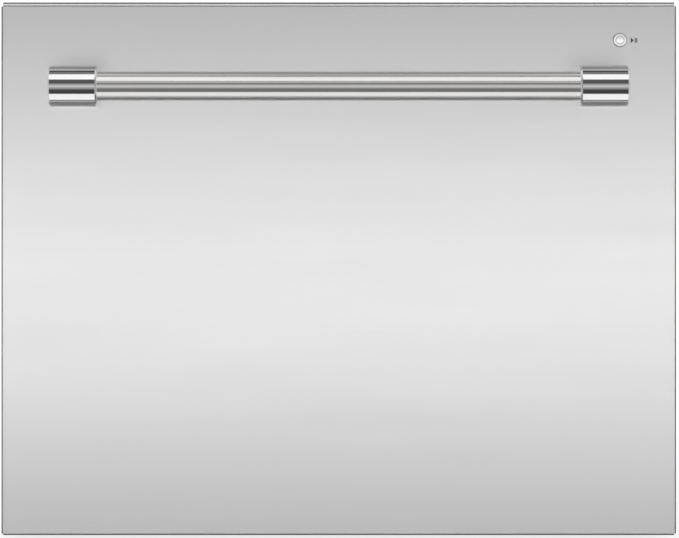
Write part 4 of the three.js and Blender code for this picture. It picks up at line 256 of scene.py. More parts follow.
def zinc_sheet_finish():
    """Zinc-coated sheet with its flat crystals, a slight rolling grain and dust in the low places."""
    finish = Finish("zinc_sheet")
    cells = {"Vector": finish.place, "Scale": 150.0}
    crystals = finish.add("ShaderNodeTexVoronoi", {}, cells, "Color")
    tone = finish.add("ShaderNodeSeparateColor", {}, {0: crystals})
    rolled = finish.noise(1.0, 2.0, stretch=(30, 30, 400))
    smudges = finish.noise(9.0, 4.0, 0.6)
    colour = finish.shaded(tone * 0.5 + smudges * 0.5, 0.16)
    roughness = 0.38 + tone * 0.07 + (smudges - 0.5) * 0.1
    return finish.surface(colour, roughness, 0.85, tone * 0.4 + rolled * 0.6, 0.00001)


def runner_steel_finish():
    """Bright rolled steel, drawn along the runner, with a trace of grease."""
    finish = Finish("runner_steel")
    drawn = finish.noise(1.0, 3.0, stretch=(500, 5, 500))
    grease = finish.noise(14.0, 3.0, 0.55)
    colour = finish.shaded(drawn * 0.5 + grease * 0.5, 0.3)
    return finish.surface(colour, 0.24 + drawn * 0.1 + (grease > 0.6) * 0.08, 1.0, drawn, 0.000008)


HOLE_PITCH = 2.6
HOLE_EDGE = 0.45  # of the wave's height: a lower edge makes a wider hole


def filter_steel_finish():
    """Stainless sheet with rows of fine punched holes: painted shade where the water goes through."""
    finish = Finish("filter_steel")
    x, y, _ = finish.coordinates(finish.place)
    wave = 2 * math.pi / (HOLE_PITCH * MM)
    rows = (x * wave).math("SINE") * (y * wave).math("SINE")
    hole = rows > HOLE_EDGE
    smears = finish.noise(30.0, 3.0)
    # Painted shade: the holes are painted almost black, as the shade seen through them.
    colour = finish.shaded(hole * 0.85 + smears * 0.12, 0.9)
    return finish.surface(colour, 0.28 + smears * 0.12 + hole * 0.3, 1.0, 1 - hole, 0.0002)


def moulded_finish(slot, roughness, grain_scale=1400.0, grain_depth=0.00002, tone_change=0.12, rub=0.04):
    """Moulded plastic: a fine spark-eroded grain, slow changes of tone, and rubbed patches."""
    finish = Finish(slot)
    grain = finish.noise(grain_scale, 2.0)
    tone = finish.noise(11.0, 4.0, 0.6)
    rubbed = finish.noise(38.0, 3.0, 0.65) > 0.62
    roughness = roughness + (grain - 0.5) * 0.12 - rubbed * rub + (tone - 0.5) * 0.08
    return finish.surface(finish.shaded(tone, tone_change), roughness, 0.0, grain, grain_depth)


def rack_coat_finish():
    """Nylon coating on wire: smooth and slightly wavy, as it runs before it sets."""
    finish = Finish("rack_coat")
    runs = finish.noise(120.0, 3.0)
    tone = finish.noise(16.0, 3.0)
    roughness = 0.34 + (runs - 0.5) * 0.14
    return finish.surface(finish.shaded(tone, 0.14), roughness, 0.0, runs, 0.00012, coat_weight=0.25)


def seal_rubber_finish():
    finish = Finish("seal_rubber")
    pores = finish.noise(900.0, 2.0)
    dust = finish.noise(25.0, 4.0, 0.7)
    colour = finish.blend(dust * 0.25, finish.colour, (0.25, 0.25, 0.24, 1.0))
    return finish.surface(colour, 0.68 + (pores - 0.5) * 0.2, 0.0, pores, 0.00003)


def pad_felt_finish():
    finish = Finish("pad_felt")
    fibres = finish.noise(1.0, 4.0, 0.7, stretch=(500, 500, 160))
    colour = finish.blend(fibres, finish.colour, (0.13, 0.125, 0.12, 1.0))
    roughness = 0.85 + (fibres - 0.5) * 0.2
    return finish.surface(colour, roughness, 0.0, fibres, 0.0002, sheen_weight=0.3)


FINISHES = {
    "brushed_front": brushed_front_finish(),
    "brushed_bar": brushed_bar_finish(),
    "polished_steel": polished_steel_finish(),
    "zinc_sheet": zinc_sheet_finish(),
    "runner_steel": runner_steel_finish(),
    "filter_steel": filter_steel_finish(),
    "tub_plastic": moulded_finish("tub_plastic", 0.34, 700.0, 0.000008, 0.04, 0.0),
    "grey_plastic": moulded_finish("grey_plastic", 0.46),
    "dark_plastic": moulded_finish("dark_plastic", 0.42),
    "basket_plastic": moulded_finish("basket_plastic", 0.4, 900.0),
    "rack_coat": rack_coat_finish(),
    "seal_rubber": seal_rubber_finish(),
    "pad_felt": pad_felt_finish(),
}


# ---------------- mesh helpers, in millimetres

WELD = 0.001
BEVELLED_FROM = 40  # degrees
AXIS = 0.05  # how near to its axis a turned profile starts and ends


class Shell:
    """A mesh under construction, in millimetres."""

    def __init__(self):
        self.bm = bmesh.new()

    def vert(self, point):
        return self.bm.verts.new(Vector(point) * MM)

    def face(self, corners):
        self.bm.faces.new(corners)

    def rings(self, rings, closed=False):
        """Skins rings of equally many points. Open rows get a cap at each end."""
        rows = [[self.vert(p) for p in ring] for ring in rings]
        pairs = list(zip(rows, rows[1:]))
        if closed:
            pairs.append((rows[-1], rows[0]))
        for below, above in pairs:
            for i in range(len(below)):
                j = (i + 1) % len(below)
                self.face((below[i], below[j], above[j], above[i]))
        if not closed:
            self.face(rows[0][::-1])
            self.face(rows[-1])

    def strip(self, rows):
        """Skins open rows of equally many points."""
        made = [[self.vert(p) for p in row] for row in rows]
        for below, above in zip(made, made[1:]):
            for i in range(len(below) - 1):
                self.face((below[i], below[i + 1], above[i + 1], above[i]))

    def mesh(self, name):
        bmesh.ops.remove_doubles(self.bm, verts=self.bm.verts, dist=WELD * MM)
        bmesh.ops.recalc_face_normals(self.bm, faces=self.bm.faces)
        data = bpy.data.meshes.new(name)
        self.bm.to_mesh(data)
        self.bm.free()
        return data


def shade(piece, angle=32):
    piece.data.shade_smooth()
    piece.data.set_sharp_from_angle(angle=math.radians(angle))


def bevelled(piece, width, segments=2):
    modifier = piece.modifiers.new("edges", "BEVEL")
    modifier.width = width * MM
    modifier.segments = segments
    modifier.limit_method = "ANGLE"
    modifier.angle_limit = math.radians(BEVELLED_FROM)
    modifier.harden_normals = True


def placed(name, data):
    """A new object in the scene."""
    made = bpy.data.objects.new(name, data)
    bpy.context.scene.collection.objects.link(made)
    return made


def piece(name, shell, body, slot, *nodes, angle=32):
    """A new piece that rides on a body, and stands for the CAD nodes given."""
    made = placed(name, shell.mesh(name))
    made.data.materials.append(FINISHES[slot])
    shade(made, angle)
    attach(made, body)
    if nodes:
        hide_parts(*nodes)
    return made


def stand_in(name, shell, node, angle=32):
    """A finer piece in a CAD node's place, on its body and with its finish."""
    return piece(name, shell, BODY_OF[node], SLOT_OF[node], node, angle=angle)


def box_mm(node):
    """A CAD node's lowest and highest corners, in millimetres."""
    low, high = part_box(node)
    return Vector(low) / MM, Vector(high) / MM


def arc(centre, radius, start, end, steps):
    """Points on an arc in a plane, in degrees from its first axis."""
    angles = [math.radians(start + (end - start) * i / steps) for i in range(steps + 1)]
    return [(centre[0] + radius * math.cos(a), centre[1] + radius * math.sin(a)) for a in angles]


def on_circle(points, radius):
    """The same number of points, moved in or out to a circle round the middle."""
    shares = [(x, y, radius / math.hypot(x, y)) for x, y in points]
    return [(x * share, y * share) for x, y, share in shares]


# ---------------- drawer front

FACE_Y = SKIN_LOW.y
BUTTON_LOW, BUTTON_HIGH = box_mm("start_button")
BUTTON_X, _, BUTTON_Z = (BUTTON_LOW + BUTTON_HIGH) / 2
BUTTON_RADIUS = (BUTTON_HIGH.x - BUTTON_LOW.x) / 2
BEND_SUPPORT = 0.5  # a row close to each bend keeps the flats flat


def skin_section():
    """The sheet's section (y, z), from its bottom return round the face to its top return."""
    bottom, top = SKIN_LOW.z, SKIN_HIGH.z
    lower = arc((FACE_Y + SKIN_EDGE_BEND, bottom + SKIN_EDGE_BEND), SKIN_EDGE_BEND, 270, 180, 8)
    upper = arc((FACE_Y + SKIN_TOP_BEND, top - SKIN_TOP_BEND), SKIN_TOP_BEND, 180, 90, 14)
    face_rows = [
        bottom + SKIN_EDGE_BEND + BEND_SUPPORT,
        BUTTON_Z - 2 * BUTTON_RADIUS,
        BUTTON_Z + 2 * BUTTON_RADIUS,
        top - SKIN_TOP_BEND - BEND_SUPPORT,
    ]
    return [
        (FACE_Y + SKIN_SIDE_RETURN, bottom),
        (FACE_Y + SKIN_EDGE_BEND + BEND_SUPPORT, bottom),
        *lower,
        *((FACE_Y, z) for z in face_rows),
        *upper,
        (FACE_Y + SKIN_TOP_BEND + BEND_SUPPORT, top),
        (FACE_Y + SKIN_TOP_RETURN, top),
    ]


def front_skin():
    """A folded sheet. The side returns stop short of the top bend, which leaves a relief."""
    shell = Shell()
    section = skin_section()
    half = SKIN_HIGH.x - SKIN_EDGE_BEND
    flat = half - BEND_SUPPORT
    reach = 2 * BUTTON_RADIUS
    columns = [-half, -flat, BUTTON_X - reach, BUTTON_X + reach, flat, half]
    rows = [[shell.vert((x, y, z)) for y, z in section] for x in columns]
    hole = (2, next(i for i, (y, z) in enumerate(section) if z == BUTTON_Z - reach))
    for column, (left, right) in enumerate(zip(rows, rows[1:])):
        for i in range(len(section) - 1):
            if (column, i) != hole:
                shell.face((left[i], left[i + 1], right[i + 1], right[i]))
    corners = [rows[hole[0] + right][hole[1] + up] for right, up in ((1, 1), (0, 1), (0, 0), (1, 0))]
    round_the_button(shell, corners)
    side_x = half + SKIN_EDGE_BEND
    heights = [SKIN_LOW.z + SKIN_EDGE_BEND]
    heights += [z for y, z in section if y == FACE_Y and z > SKIN_LOW.z + 2]
    for side in (-1, 1):
        plan = arc((half, FACE_Y + SKIN_EDGE_BEND), SKIN_EDGE_BEND, 270, 360, 8)
        plan.append((side_x, FACE_Y + SKIN_EDGE_BEND + BEND_SUPPORT))
        plan.append((side_x, FACE_Y + SKIN_SIDE_RETURN))
        shell.strip([[(side * x, y, z) for x, y in plan] for z in heights])
    made = stand_in("front_skin_folded", shell, "front_skin")
    sheet = made.modifiers.new("sheet", "SOLIDIFY")
    sheet.thickness = SKIN_SHEET * MM
    sheet.offset = -1
    settle(made)
    return made


def settle(made):
    """Keeps what a piece's modifiers make of it, and shades that."""
    graph = bpy.context.evaluated_depsgraph_get()
    made.data = bpy.data.meshes.new_from_object(made.evaluated_get(graph))
    made.modifiers.clear()
    shade(made)


def round_the_button(shell, corners, steps=8):
    """Fills the square round the button's hole, given its corners from the upper right."""
    count = 4 * steps
    hole = arc((BUTTON_X, BUTTON_Z), BUTTON_RADIUS + BUTTON_CLEARANCE, 45, 405, count)[:-1]
    ring = [shell.vert((x, FACE_Y, z)) for x, z in hole]
    for quarter in range(4):
        here, following = corners[quarter], corners[(quarter + 1) % 4]
        first = quarter * steps
        middle = first + steps // 2
        for i in range(first, middle):
            shell.face((here, ring[i], ring[i + 1]))
        shell.face((here, ring[middle], following))
        for i in range(middle, first + steps):
            shell.face((following, ring[i], ring[(i + 1) % count]))


def ring_point(axis, centre, distance, reach, angle):
    """A point so far along an axis through a centre, and so far out from it."""
    along = "xyz".index(axis)
    across, upward = (i for i in range(3) if i != along)
    point = list(centre)
    point[along] += distance
    point[across] += reach * math.cos(angle)
    point[upward] += reach * math.sin(angle)
    return point


def turned(profile, axis, centre, steps=48, shell=None):
    """Rings round an axis. The profile holds (radius, distance along the axis), and a third number
    makes that ring a polygon of so many sides."""
    shell = shell or Shell()
    rings = []
    for radius, distance, *sides in profile:
        ring = []
        for i in range(steps):
            angle = 2 * math.pi * i / steps
            reach = radius
            if sides:
                half = math.pi / sides[0]
                reach *= math.cos(half) / math.cos(angle % (2 * half) - half)
            ring.append(ring_point(axis, centre, distance, reach, angle))
        rings.append(ring)
    shell.rings(rings)
    return shell


def start_button():
    """A polished round button with a ring groove and a slightly domed middle, pushed along y."""
    radius = BUTTON_RADIUS
    depth = BUTTON_HIGH.y - BUTTON_LOW.y
    profile = [
        (radius - 0.3, depth),
        (radius, depth - 0.3),
        (radius, 0.5),
        (radius - 0.15, 0.15),
        (radius - 0.5, 0.0),
        (radius * 0.78, 0.0),
        (radius * 0.75, 0.2),
        (radius * 0.69, 0.2),
    ]
    for turn in range(0, 90, 15):
        angle = math.radians(turn)
        profile.append((radius * 0.62 * math.cos(angle), 0.2 - 0.35 * math.sin(angle)))
    profile.append((AXIS, -0.15))
    shell = turned(profile, "y", (BUTTON_X, BUTTON_LOW.y, BUTTON_Z), 64)
    return stand_in("start_button_polished", shell, "start_button")


# ---------------- handle

BAR_LOW, BAR_HIGH = box_mm("handle_bar")
_, BAR_Y, BAR_Z = (BAR_LOW + BAR_HIGH) / 2
BAR_RADIUS = (BAR_HIGH.z - BAR_LOW.z) / 2


def handle_bar():
    half = BAR_HIGH.x
    edge = 0.6
    left = [(BAR_RADIUS - edge, -half), (BAR_RADIUS, edge - half)]
    profile = left + [(radius, -x) for radius, x in reversed(left)]
    shell = turned(profile, "x", (0, BAR_Y, BAR_Z), 128)
    return stand_in("handle_bar_round", shell, "handle_bar")


def post_outline(inset, steps=64):
    """The post's side view (y, z) about the bar's axis: a round nose and flat cheeks."""
    low, high = box_mm("handle_post_right")
    radius = (high.z - low.z) / 2 - inset
    back = high.y - BAR_Y
    flats = [(back * share, radius) for share in (1.0, 0.75, 0.5, 0.25)]
    return [*flats, *arc((0, 0), radius, 90, 270, steps), *((y, -z) for y, z in reversed(flats))]


def handle_post(side, name):
    """A post with chamfered ends, and a socket in its inner end for the bar."""
    low, high = box_mm(name)
    inner, outer = (low.x, high.x) if side > 0 else (high.x, low.x)
    full, small = post_outline(0), post_outline(POST_CHAMFER)
    mouth = on_circle(small, BAR_RADIUS + SOCKET_CLEARANCE)
    stations = [
        (outer, small),
        (outer - side * POST_CHAMFER, full),
        (inner + side * POST_CHAMFER, full),
        (inner, small),
        (inner, mouth),
        (inner + side * SOCKET_DEPTH, mouth),
    ]
    shell = Shell()
    shell.rings([[(x, BAR_Y + y, BAR_Z + z) for y, z in outline] for x, outline in stations])
    return stand_in(name + "_turned", shell, name, angle=25)


# ---------------- rods, wires and plates


def rod(shell, path, radius, sides=10, closed=False):
    """A round wire along points. Its open ends are rounded off."""
    points = [Vector(p) for p in path]
    count = len(points)
    stations = []
    for i, point in enumerate(points):
        before = points[i - 1] if i or closed else point
        after = points[(i + 1) % count] if i + 1 < count or closed else point
        stations.append((point, (after - before).normalized(), radius))
    if not closed:
        tip = 0.55 * radius
        start, along, _ = stations[0]
        stations[:1] = [(start, along, tip), (start + along * tip, along, radius)]
        end, along, _ = stations[-1]
        stations[-1:] = [(end - along * tip, along, radius), (end, along, tip)]
    side = stations[0][1].orthogonal().normalized()
    rings = []
    for point, along, reach in stations:
        side = (side - along * side.dot(along)).normalized()
        other = along.cross(side)
        turns = [2 * math.pi * k / sides for k in range(sides)]
        rings.append([point + (side * math.cos(a) + other * math.sin(a)) * reach for a in turns])
    shell.rings(rings, closed)


def bent(corners, radius, steps=6, closed=False):
    """A path through corners, with each corner rounded to a radius."""
    points = [Vector(c) for c in corners]
    path = []
    for i, corner in enumerate(points):
        if not closed and i in (0, len(points) - 1):
            path.append(corner)
            continue
        start = corner + (points[i - 1] - corner).normalized() * radius
        end = corner + (points[(i + 1) % len(points)] - corner).normalized() * radius
        for k in range(steps + 1):
            share = k / steps
            path.append(start.lerp(corner, share).lerp(corner.lerp(end, share), share))
    return path


def plate(shell, loops, axis, start, end):
    """A flat plate with holes: loops are outlines across an axis, the first one outside."""
    along = "xyz".index(axis)
    layers = []
    for distance in (start, end):
        rows = [[shell.vert((*p[:along], distance, *p[along:])) for p in loop] for loop in loops]
        edges = []
        for row in rows:
            edges += [shell.bm.edges.new((row[i - 1], row[i])) for i in range(len(row))]
        bmesh.ops.triangle_fill(shell.bm, use_beauty=True, edges=edges)
        layers.append(rows)
    for low_row, high_row in zip(*layers):
        for i in range(len(low_row)):
            shell.face((low_row[i - 1], low_row[i], high_row[i], high_row[i - 1]))


def circle(centre, radius, steps=48):
    return arc(centre, radius, 0, 360, steps)[:-1]


def rounded(low, high, radius, steps=8):
    """The outline of a rounded rectangle between two corners."""
    corners = [
        (high[0] - radius, high[1] - radius, 0),
        (low[0] + radius, high[1] - radius, 90),
        (low[0] + radius, low[1] + radius, 180),
        (high[0] - radius, low[1] + radius, 270),
    ]
    return [p for x, y, start in corners for p in arc((x, y), radius, start, start + 90, steps)]


def bar(shell, low, high):
    """A straight bar between two corners."""
    (x0, y0, z0), (x1, y1, z1) = low, high
    shell.rings([[(x0, y0, z), (x1, y0, z), (x1, y1, z), (x0, y1, z)] for z in (z0, z1)])


def spaced(half, count):
    """Evenly spaced places from -half to half."""
    return [-half + 2 * half * i / (count - 1) for i in range(count)]


# ---------------- dish rack

RACK_LOW, RACK_HIGH = box_mm("rack_floor")
RACK_Y = (RACK_LOW.y + RACK_HIGH.y) / 2
RAIL = 2.5  # radii of the wires
GRID = 1.6
TINE = 1.7
SHELF_RAIL = 2.0
RACK_HALF_X = RACK_HIGH.x - RAIL
RACK_HALF_Y = RACK_HIGH.y - RACK_Y - RAIL
RACK_Z = 120.6  # the lower wires' height
UPPER_Z = 123.5
WIRE_GAP = 0.3
RACK_FOOT_Z = RACK_Z + RAIL + WIRE_GAP
RACK_TOP_Z = box_mm("cup_shelf_left")[0].z + SHELF_RAIL
END_TOP_Z = RACK_TOP_Z - 23
RACK_FLARE = 6.0
RACK_BEND = 16.0
LEG_RADIUS = 3.5
LEG_X, LEG_Y = 181.5, 136.0
GRID_COUNT_X = 17
GRID_COUNT_Y = 13
TINE_ROWS = {"plate_tines_outer": -181.5, "plate_tines_inner": -60.5, "bowl_tines": 60.5}
CLIP_Y = 128.0
CLIP_HALF = 4.0
TINE_HINGE_RADIUS = 2.0
TINE_REACH = 144.0
TINE_COUNT = 10
SHELF_HINGE_X = RACK_HALF_X + RACK_FLARE - RAIL - SHELF_RAIL - WIRE_GAP
SHELF_CLIP_Y = 106.25
SHELF_WIDTH = 100.0
SHELF_BEND = 9.0
SHELF_WIRE = 1.3
SHELF_WIRE_COUNT = 17


def lean(z):
    """How far the rack's walls lean out at a height."""
    return RACK_FLARE * (z - RACK_Z) / (RACK_TOP_Z - RACK_Z)


def hinge_clip(shell, x, y, z, pin):
    """A moulded clip round a hinge wire."""
    loops = [circle((x, z), pin + 2.7, 24), circle((x, z), pin + 0.5, 24)]
    plate(shell, loops, "y", y - CLIP_HALF, y + CLIP_HALF)


def rack_floor():
    shell = Shell()
    corners = [
        (side_x * RACK_HALF_X, RACK_Y + side_y * RACK_HALF_Y, RACK_Z)
        for side_x, side_y in ((1, 1), (-1, 1), (-1, -1), (1, -1))
    ]
    rod(shell, bent(corners, RACK_BEND, closed=True), RAIL, closed=True)
    for y in spaced(RACK_HALF_Y, GRID_COUNT_Y)[1:-1]:
        rod(shell, [(-RACK_HALF_X, RACK_Y + y, RACK_Z), (RACK_HALF_X, RACK_Y + y, RACK_Z)], GRID)
    for x in spaced(RACK_HALF_X, GRID_COUNT_X)[1:-1]:
        rod(shell, [(x, RACK_Y - RACK_HALF_Y, UPPER_Z), (x, RACK_Y + RACK_HALF_Y, UPPER_Z)], GRID)
    for x in (-LEG_X, LEG_X):
        for y in (-LEG_Y, LEG_Y):
            rod(shell, [(x, RACK_Y + y, RACK_LOW.z), (x, RACK_Y + y, RACK_Z)], LEG_RADIUS, 16)
    stand_in("rack_floor_wires", shell, "rack_floor")
    clips = Shell()
    hinge_z = box_mm("plate_tines_outer")[0].z + TINE_HINGE_RADIUS
    for x in TINE_ROWS.values():
        for y in (-CLIP_Y, CLIP_Y):
            hinge_clip(clips, x, RACK_Y + y, hinge_z, TINE_HINGE_RADIUS)
    piece("rack_tine_clips", clips, "drawer", "grey_plastic")


def rack_wall(name, place, reach, rails, foot, uprights):
    """Two rails, and wires that stand on a foot and end at the upper rail."""
    shell = Shell()
    for z in rails:
        rod(shell, [place(-reach, z), place(reach, z)], RAIL, 12)
    for across in uprights:
        rod(shell, [place(across, foot), place(across, rails[1])], GRID)
    stand_in(name + "_wires", shell, name)


def rack_side_wall(side, name):
    reach = RACK_HALF_Y - 2 * RAIL
    place = lambda y, z: (side * (RACK_HALF_X + lean(z)), RACK_Y + y, z)
    rails = ((RACK_FOOT_Z + RACK_TOP_Z) / 2, RACK_TOP_Z)
    rack_wall(name, place, reach, rails, RACK_FOOT_Z, spaced(reach - 2 * GRID, GRID_COUNT_Y))
    clips = Shell()
    for y in (-SHELF_CLIP_Y, SHELF_CLIP_Y):
        hinge_clip(clips, side * SHELF_HINGE_X, RACK_Y + y, RACK_TOP_Z, SHELF_RAIL)
    piece(name + "_clips", clips, "drawer", "grey_plastic")


def rack_end_wall(side, name):
    reach = RACK_HALF_X - 2 * RAIL - WIRE_GAP
    place = lambda x, z: (x, RACK_Y + side * (RACK_HALF_Y + lean(z)), z)
    rails = ((RACK_FOOT_Z + END_TOP_Z) / 2, END_TOP_Z)
    uprights = spaced(RACK_HALF_X, GRID_COUNT_X)[1:-1]
    rack_wall(name, place, reach, rails, UPPER_Z + GRID + WIRE_GAP, uprights)


def tine_row(name, x):
    low, high = box_mm(name)
    hinge = low.z + TINE_HINGE_RADIUS
    shell = Shell()
    rod(shell, [(x, low.y, hinge), (x, high.y, hinge)], TINE_HINGE_RADIUS, 12)
    for y in spaced(TINE_REACH, TINE_COUNT):
        rod(shell, [(x, RACK_Y + y, hinge), (x, RACK_Y + y, high.z)], TINE)
    stand_in(name + "_wires", shell, name)


def cup_shelf(side, name):
    """A folding shelf of wires: a bent frame, a hinge wire and cross wires."""
    low, high = box_mm(name)
    hinge_x = side * SHELF_HINGE_X
    far_x = hinge_x - side * SHELF_WIDTH
    z = (low.z + high.z) / 2
    front, back = low.y + SHELF_RAIL, high.y - SHELF_RAIL
    corners = [(hinge_x, front, z), (far_x, front, z), (far_x, back, z), (hinge_x, back, z)]
    shell = Shell()
    rod(shell, bent(corners, SHELF_BEND), SHELF_RAIL, 12)
    rod(shell, [(hinge_x, front, z), (hinge_x, back, z)], SHELF_RAIL, 12)
    middle = (front + back) / 2
    for y in spaced((back - front) / 2, SHELF_WIRE_COUNT)[1:-1]:
        rod(shell, [(hinge_x, middle + y, z), (far_x, middle + y, z)], SHELF_WIRE)
    stand_in(name + "_wires", shell, name)


# ---------------- cutlery basket

BASKET_LOW, BASKET_HIGH = box_mm("cutlery_basket")
BASKET_RIM_Z = BASKET_HIGH.z - 26
BASKET_TAPER = 4.0  # each wall leans in by this much at the base
WINDOW_LOW, WINDOW_HIGH = 0.17, 0.71  # of the basket's height
STRAND, CROSS_STRAND = 1.1, 1.0
SIDE_WINDOW = ((-13.4, -6.7, 0, 6.7, 13.4), 21)  # the strands' places, and how far the cross strands reach
END_WINDOW = ((-5.5, 0, 5.5), 12)
END_WINDOW_PLACES = (-18, 18)
CROSS_SHARES = (0.25, 0.5, 0.75)  # of the window's height
FLOOR_STRAND_COUNT = 23
FLOOR_STRAND_HALF = 33


def cutlery_lattice():
    """The lattice that fills the basket's windows and the slots of its floor."""
    shell = Shell()
    height = BASKET_RIM_Z - BASKET_LOW.z
    middle_x = (BASKET_LOW.x + BASKET_HIGH.x) / 2
    half_x = (BASKET_HIGH.x - BASKET_LOW.x) / 2
    half_y = (BASKET_HIGH.y - BASKET_LOW.y) / 2
    low, high = WINDOW_LOW * height, WINDOW_HIGH * height
    inset = lambda z: BASKET_TAPER - 3.0 * z / (height - 6) + STRAND
    cell = (half_y - 2.2) / 2
    for side in (-1, 1):
        wall = lambda y, z: (middle_x + side * (half_x - inset(z)), RACK_Y + y, BASKET_LOW.z + z)
        end = lambda x, z: (middle_x + x, RACK_Y + side * (half_y - inset(z)), BASKET_LOW.z + z)
        windows = [(wall, centre, *SIDE_WINDOW) for centre in spaced(1.5 * cell, 4)]
        windows += [(end, centre, *END_WINDOW) for centre in END_WINDOW_PLACES]
        for place, centre, strands, reach in windows:
            for across in strands:
                rod(shell, [place(centre + across, low - 1), place(centre + across, high + 1)], STRAND, 8)
            for share in CROSS_SHARES:
                z = low + (high - low) * share
                rod(shell, [place(centre - reach, z), place(centre + reach, z)], CROSS_STRAND, 8)
    floor_z = BASKET_LOW.z + STRAND
    for y in spaced(half_y - 14, FLOOR_STRAND_COUNT):
        ends = [(middle_x + side * FLOOR_STRAND_HALF, RACK_Y + y, floor_z) for side in (-1, 1)]
        rod(shell, ends, CROSS_STRAND, 8)
    piece("cutlery_basket_lattice", shell, "drawer", "basket_plastic")


# ---------------- tub

TUB_Y = RACK_Y
TUB_HALF_X, TUB_HALF_Y = 262.0, 230.0  # inside, at the rim
TUB_TOP_Z = 405.0
TUB_FLOOR_Z = 91.0
TUB_DRAFT = 6.0
TUB_CORNER = 42.0
LEAST_CORNER = 8.0
TUB_WALL = 3.0
RIM_FLANGE = 8.0
FLOOR_BEND = 12.0
SUMP_RADIUS = 125.0
SUMP_FLOOR_Z = 69.0
CORNER_STEPS = 16
RAIL_FOOT_X = 259.0
RAIL_HEIGHTS = (134.0, 166.0)
RAIL_ENDS = (-190.0, 212.0)
RAIL_RIB = 3.0
RAIL_SHEET = 2.5
RAIL_RIBS = 17
POST_FRONT_Y = -235.2
POST_BACK_Y = -219.5  # at the rim, where the tub reaches furthest
POST_PLACES = [(x, z) for z in (130, 370) for x in (-200, 0, 200)]
POST_HALF_X, POST_HALF_Z = 12, 14
POST_WALL = 3


def tub_ring(out, corner, z):
    """A rounded rectangle so far outside the tub's inside. Its sides have points too, for the sump."""
    points = []
    steps = 8
    half_x, half_y = TUB_HALF_X + out, TUB_HALF_Y + out
    outline = rounded((-half_x, -half_y), (half_x, half_y), corner, CORNER_STEPS)
    per_corner = CORNER_STEPS + 1
    for first in range(0, 4 * per_corner, per_corner):
        run = outline[first : first + per_corner]
        points += run
        end, start = run[-1], outline[(first + per_corner) % len(outline)]
        for i in range(1, steps):
            share = i / steps
            points.append((end[0] + (start[0] - end[0]) * share, end[1] + (start[1] - end[1]) * share))
    return [(x, TUB_Y + y, z) for x, y in points]


def round_like(ring, radius, z):
    """The same number of points as a ring, on a circle round the tub's centre."""
    return [(x, TUB_Y + y, z) for x, y in on_circle([(x, y - TUB_Y) for x, y, _ in ring], radius)]


def tub_wall_in(z):
    """How far the tub's walls have drawn in at a height, below the rim."""
    return TUB_DRAFT * (TUB_TOP_Z - z) / (TUB_TOP_Z - TUB_FLOOR_Z)


def tub_level(offset, z):
    out = offset - tub_wall_in(z)
    return tub_ring(out, max(TUB_CORNER + out, LEAST_CORNER), z)


def bend_levels(offset, z, size, steps=6):
    """The rounded step from a floor up to its walls, as seen from inside the tub."""
    levels = []
    for i in range(steps + 1):
        angle = math.radians(90 * i / steps)
        levels.append(tub_level(offset - size * (1 - math.sin(angle)), z + size * (1 - math.cos(angle))))
    return levels


def tub():
    under = TUB_FLOOR_Z - TUB_WALL
    sump_under = SUMP_FLOOR_Z - TUB_WALL
    top = TUB_TOP_Z
    flange = TUB_WALL + RIM_FLANGE
    outside_floor = tub_level(TUB_WALL - FLOOR_BEND, under)
    inside_floor = tub_level(-FLOOR_BEND, TUB_FLOOR_Z)
    sump_outside = [
        (4, sump_under),
        (SUMP_RADIUS - 3, sump_under),
        (SUMP_RADIUS + 1, sump_under + 1),
        (SUMP_RADIUS + TUB_WALL, sump_under + 5),
        (SUMP_RADIUS + TUB_WALL, under),
    ]
    rim = [
        (TUB_WALL, top - TUB_WALL),
        (flange - 0.6, top - TUB_WALL),
        (flange, top - TUB_WALL + 0.6),
        (flange, top - 1),
        (flange - 1, top),
        (2, top),
        (0.6, top - 0.6),
        (0, top - 2),
    ]
    sump_inside = [
        (SUMP_RADIUS + 2, TUB_FLOOR_Z),
        (SUMP_RADIUS + 0.6, TUB_FLOOR_Z - 0.5),
        (SUMP_RADIUS, TUB_FLOOR_Z - 2),
        (SUMP_RADIUS, SUMP_FLOOR_Z + 4),
        (SUMP_RADIUS - 1.2, SUMP_FLOOR_Z + 1.2),
        (SUMP_RADIUS - 4, SUMP_FLOOR_Z),
        (4, SUMP_FLOOR_Z),
    ]
    rings = [round_like(outside_floor, radius, z) for radius, z in sump_outside]
    rings += bend_levels(TUB_WALL, under, FLOOR_BEND + 2)
    rings += [tub_level(offset, z) for offset, z in rim]
    rings += reversed(bend_levels(0, TUB_FLOOR_Z, FLOOR_BEND))
    rings += [round_like(inside_floor, radius, z) for radius, z in sump_inside]
    shell = Shell()
    shell.rings(rings)
    stand_in("tub_moulding", shell, "tub")


def tub_rails():
    """Ribbed rails that the runners' inner members screw to, one on each side."""
    face_x = box_mm("tub")[1].x
    bottom, top = RAIL_HEIGHTS
    front, back = RAIL_ENDS
    pitch = (back - front - RAIL_RIB) / (RAIL_RIBS - 1)
    for side, name in ((-1, "tub_rail_left"), (1, "tub_rail_right")):
        shell = Shell()
        x0, x1 = side * RAIL_FOOT_X, side * face_x
        bar(shell, (x0, front, bottom), (x0 + side * RAIL_SHEET, back, top))
        x0 += side * (RAIL_SHEET - 0.5)
        bar(shell, (x0, front, bottom), (x1, back, bottom + RAIL_RIB))
        bar(shell, (x0, front, top - RAIL_RIB), (x1, back, top))
        for i in range(RAIL_RIBS):
            y = front + i * pitch
            bar(shell, (x0, y, bottom + 2), (x1, y + RAIL_RIB, top - 2))
        bevelled(piece(name, shell, "drawer", "tub_plastic"), 0.5)


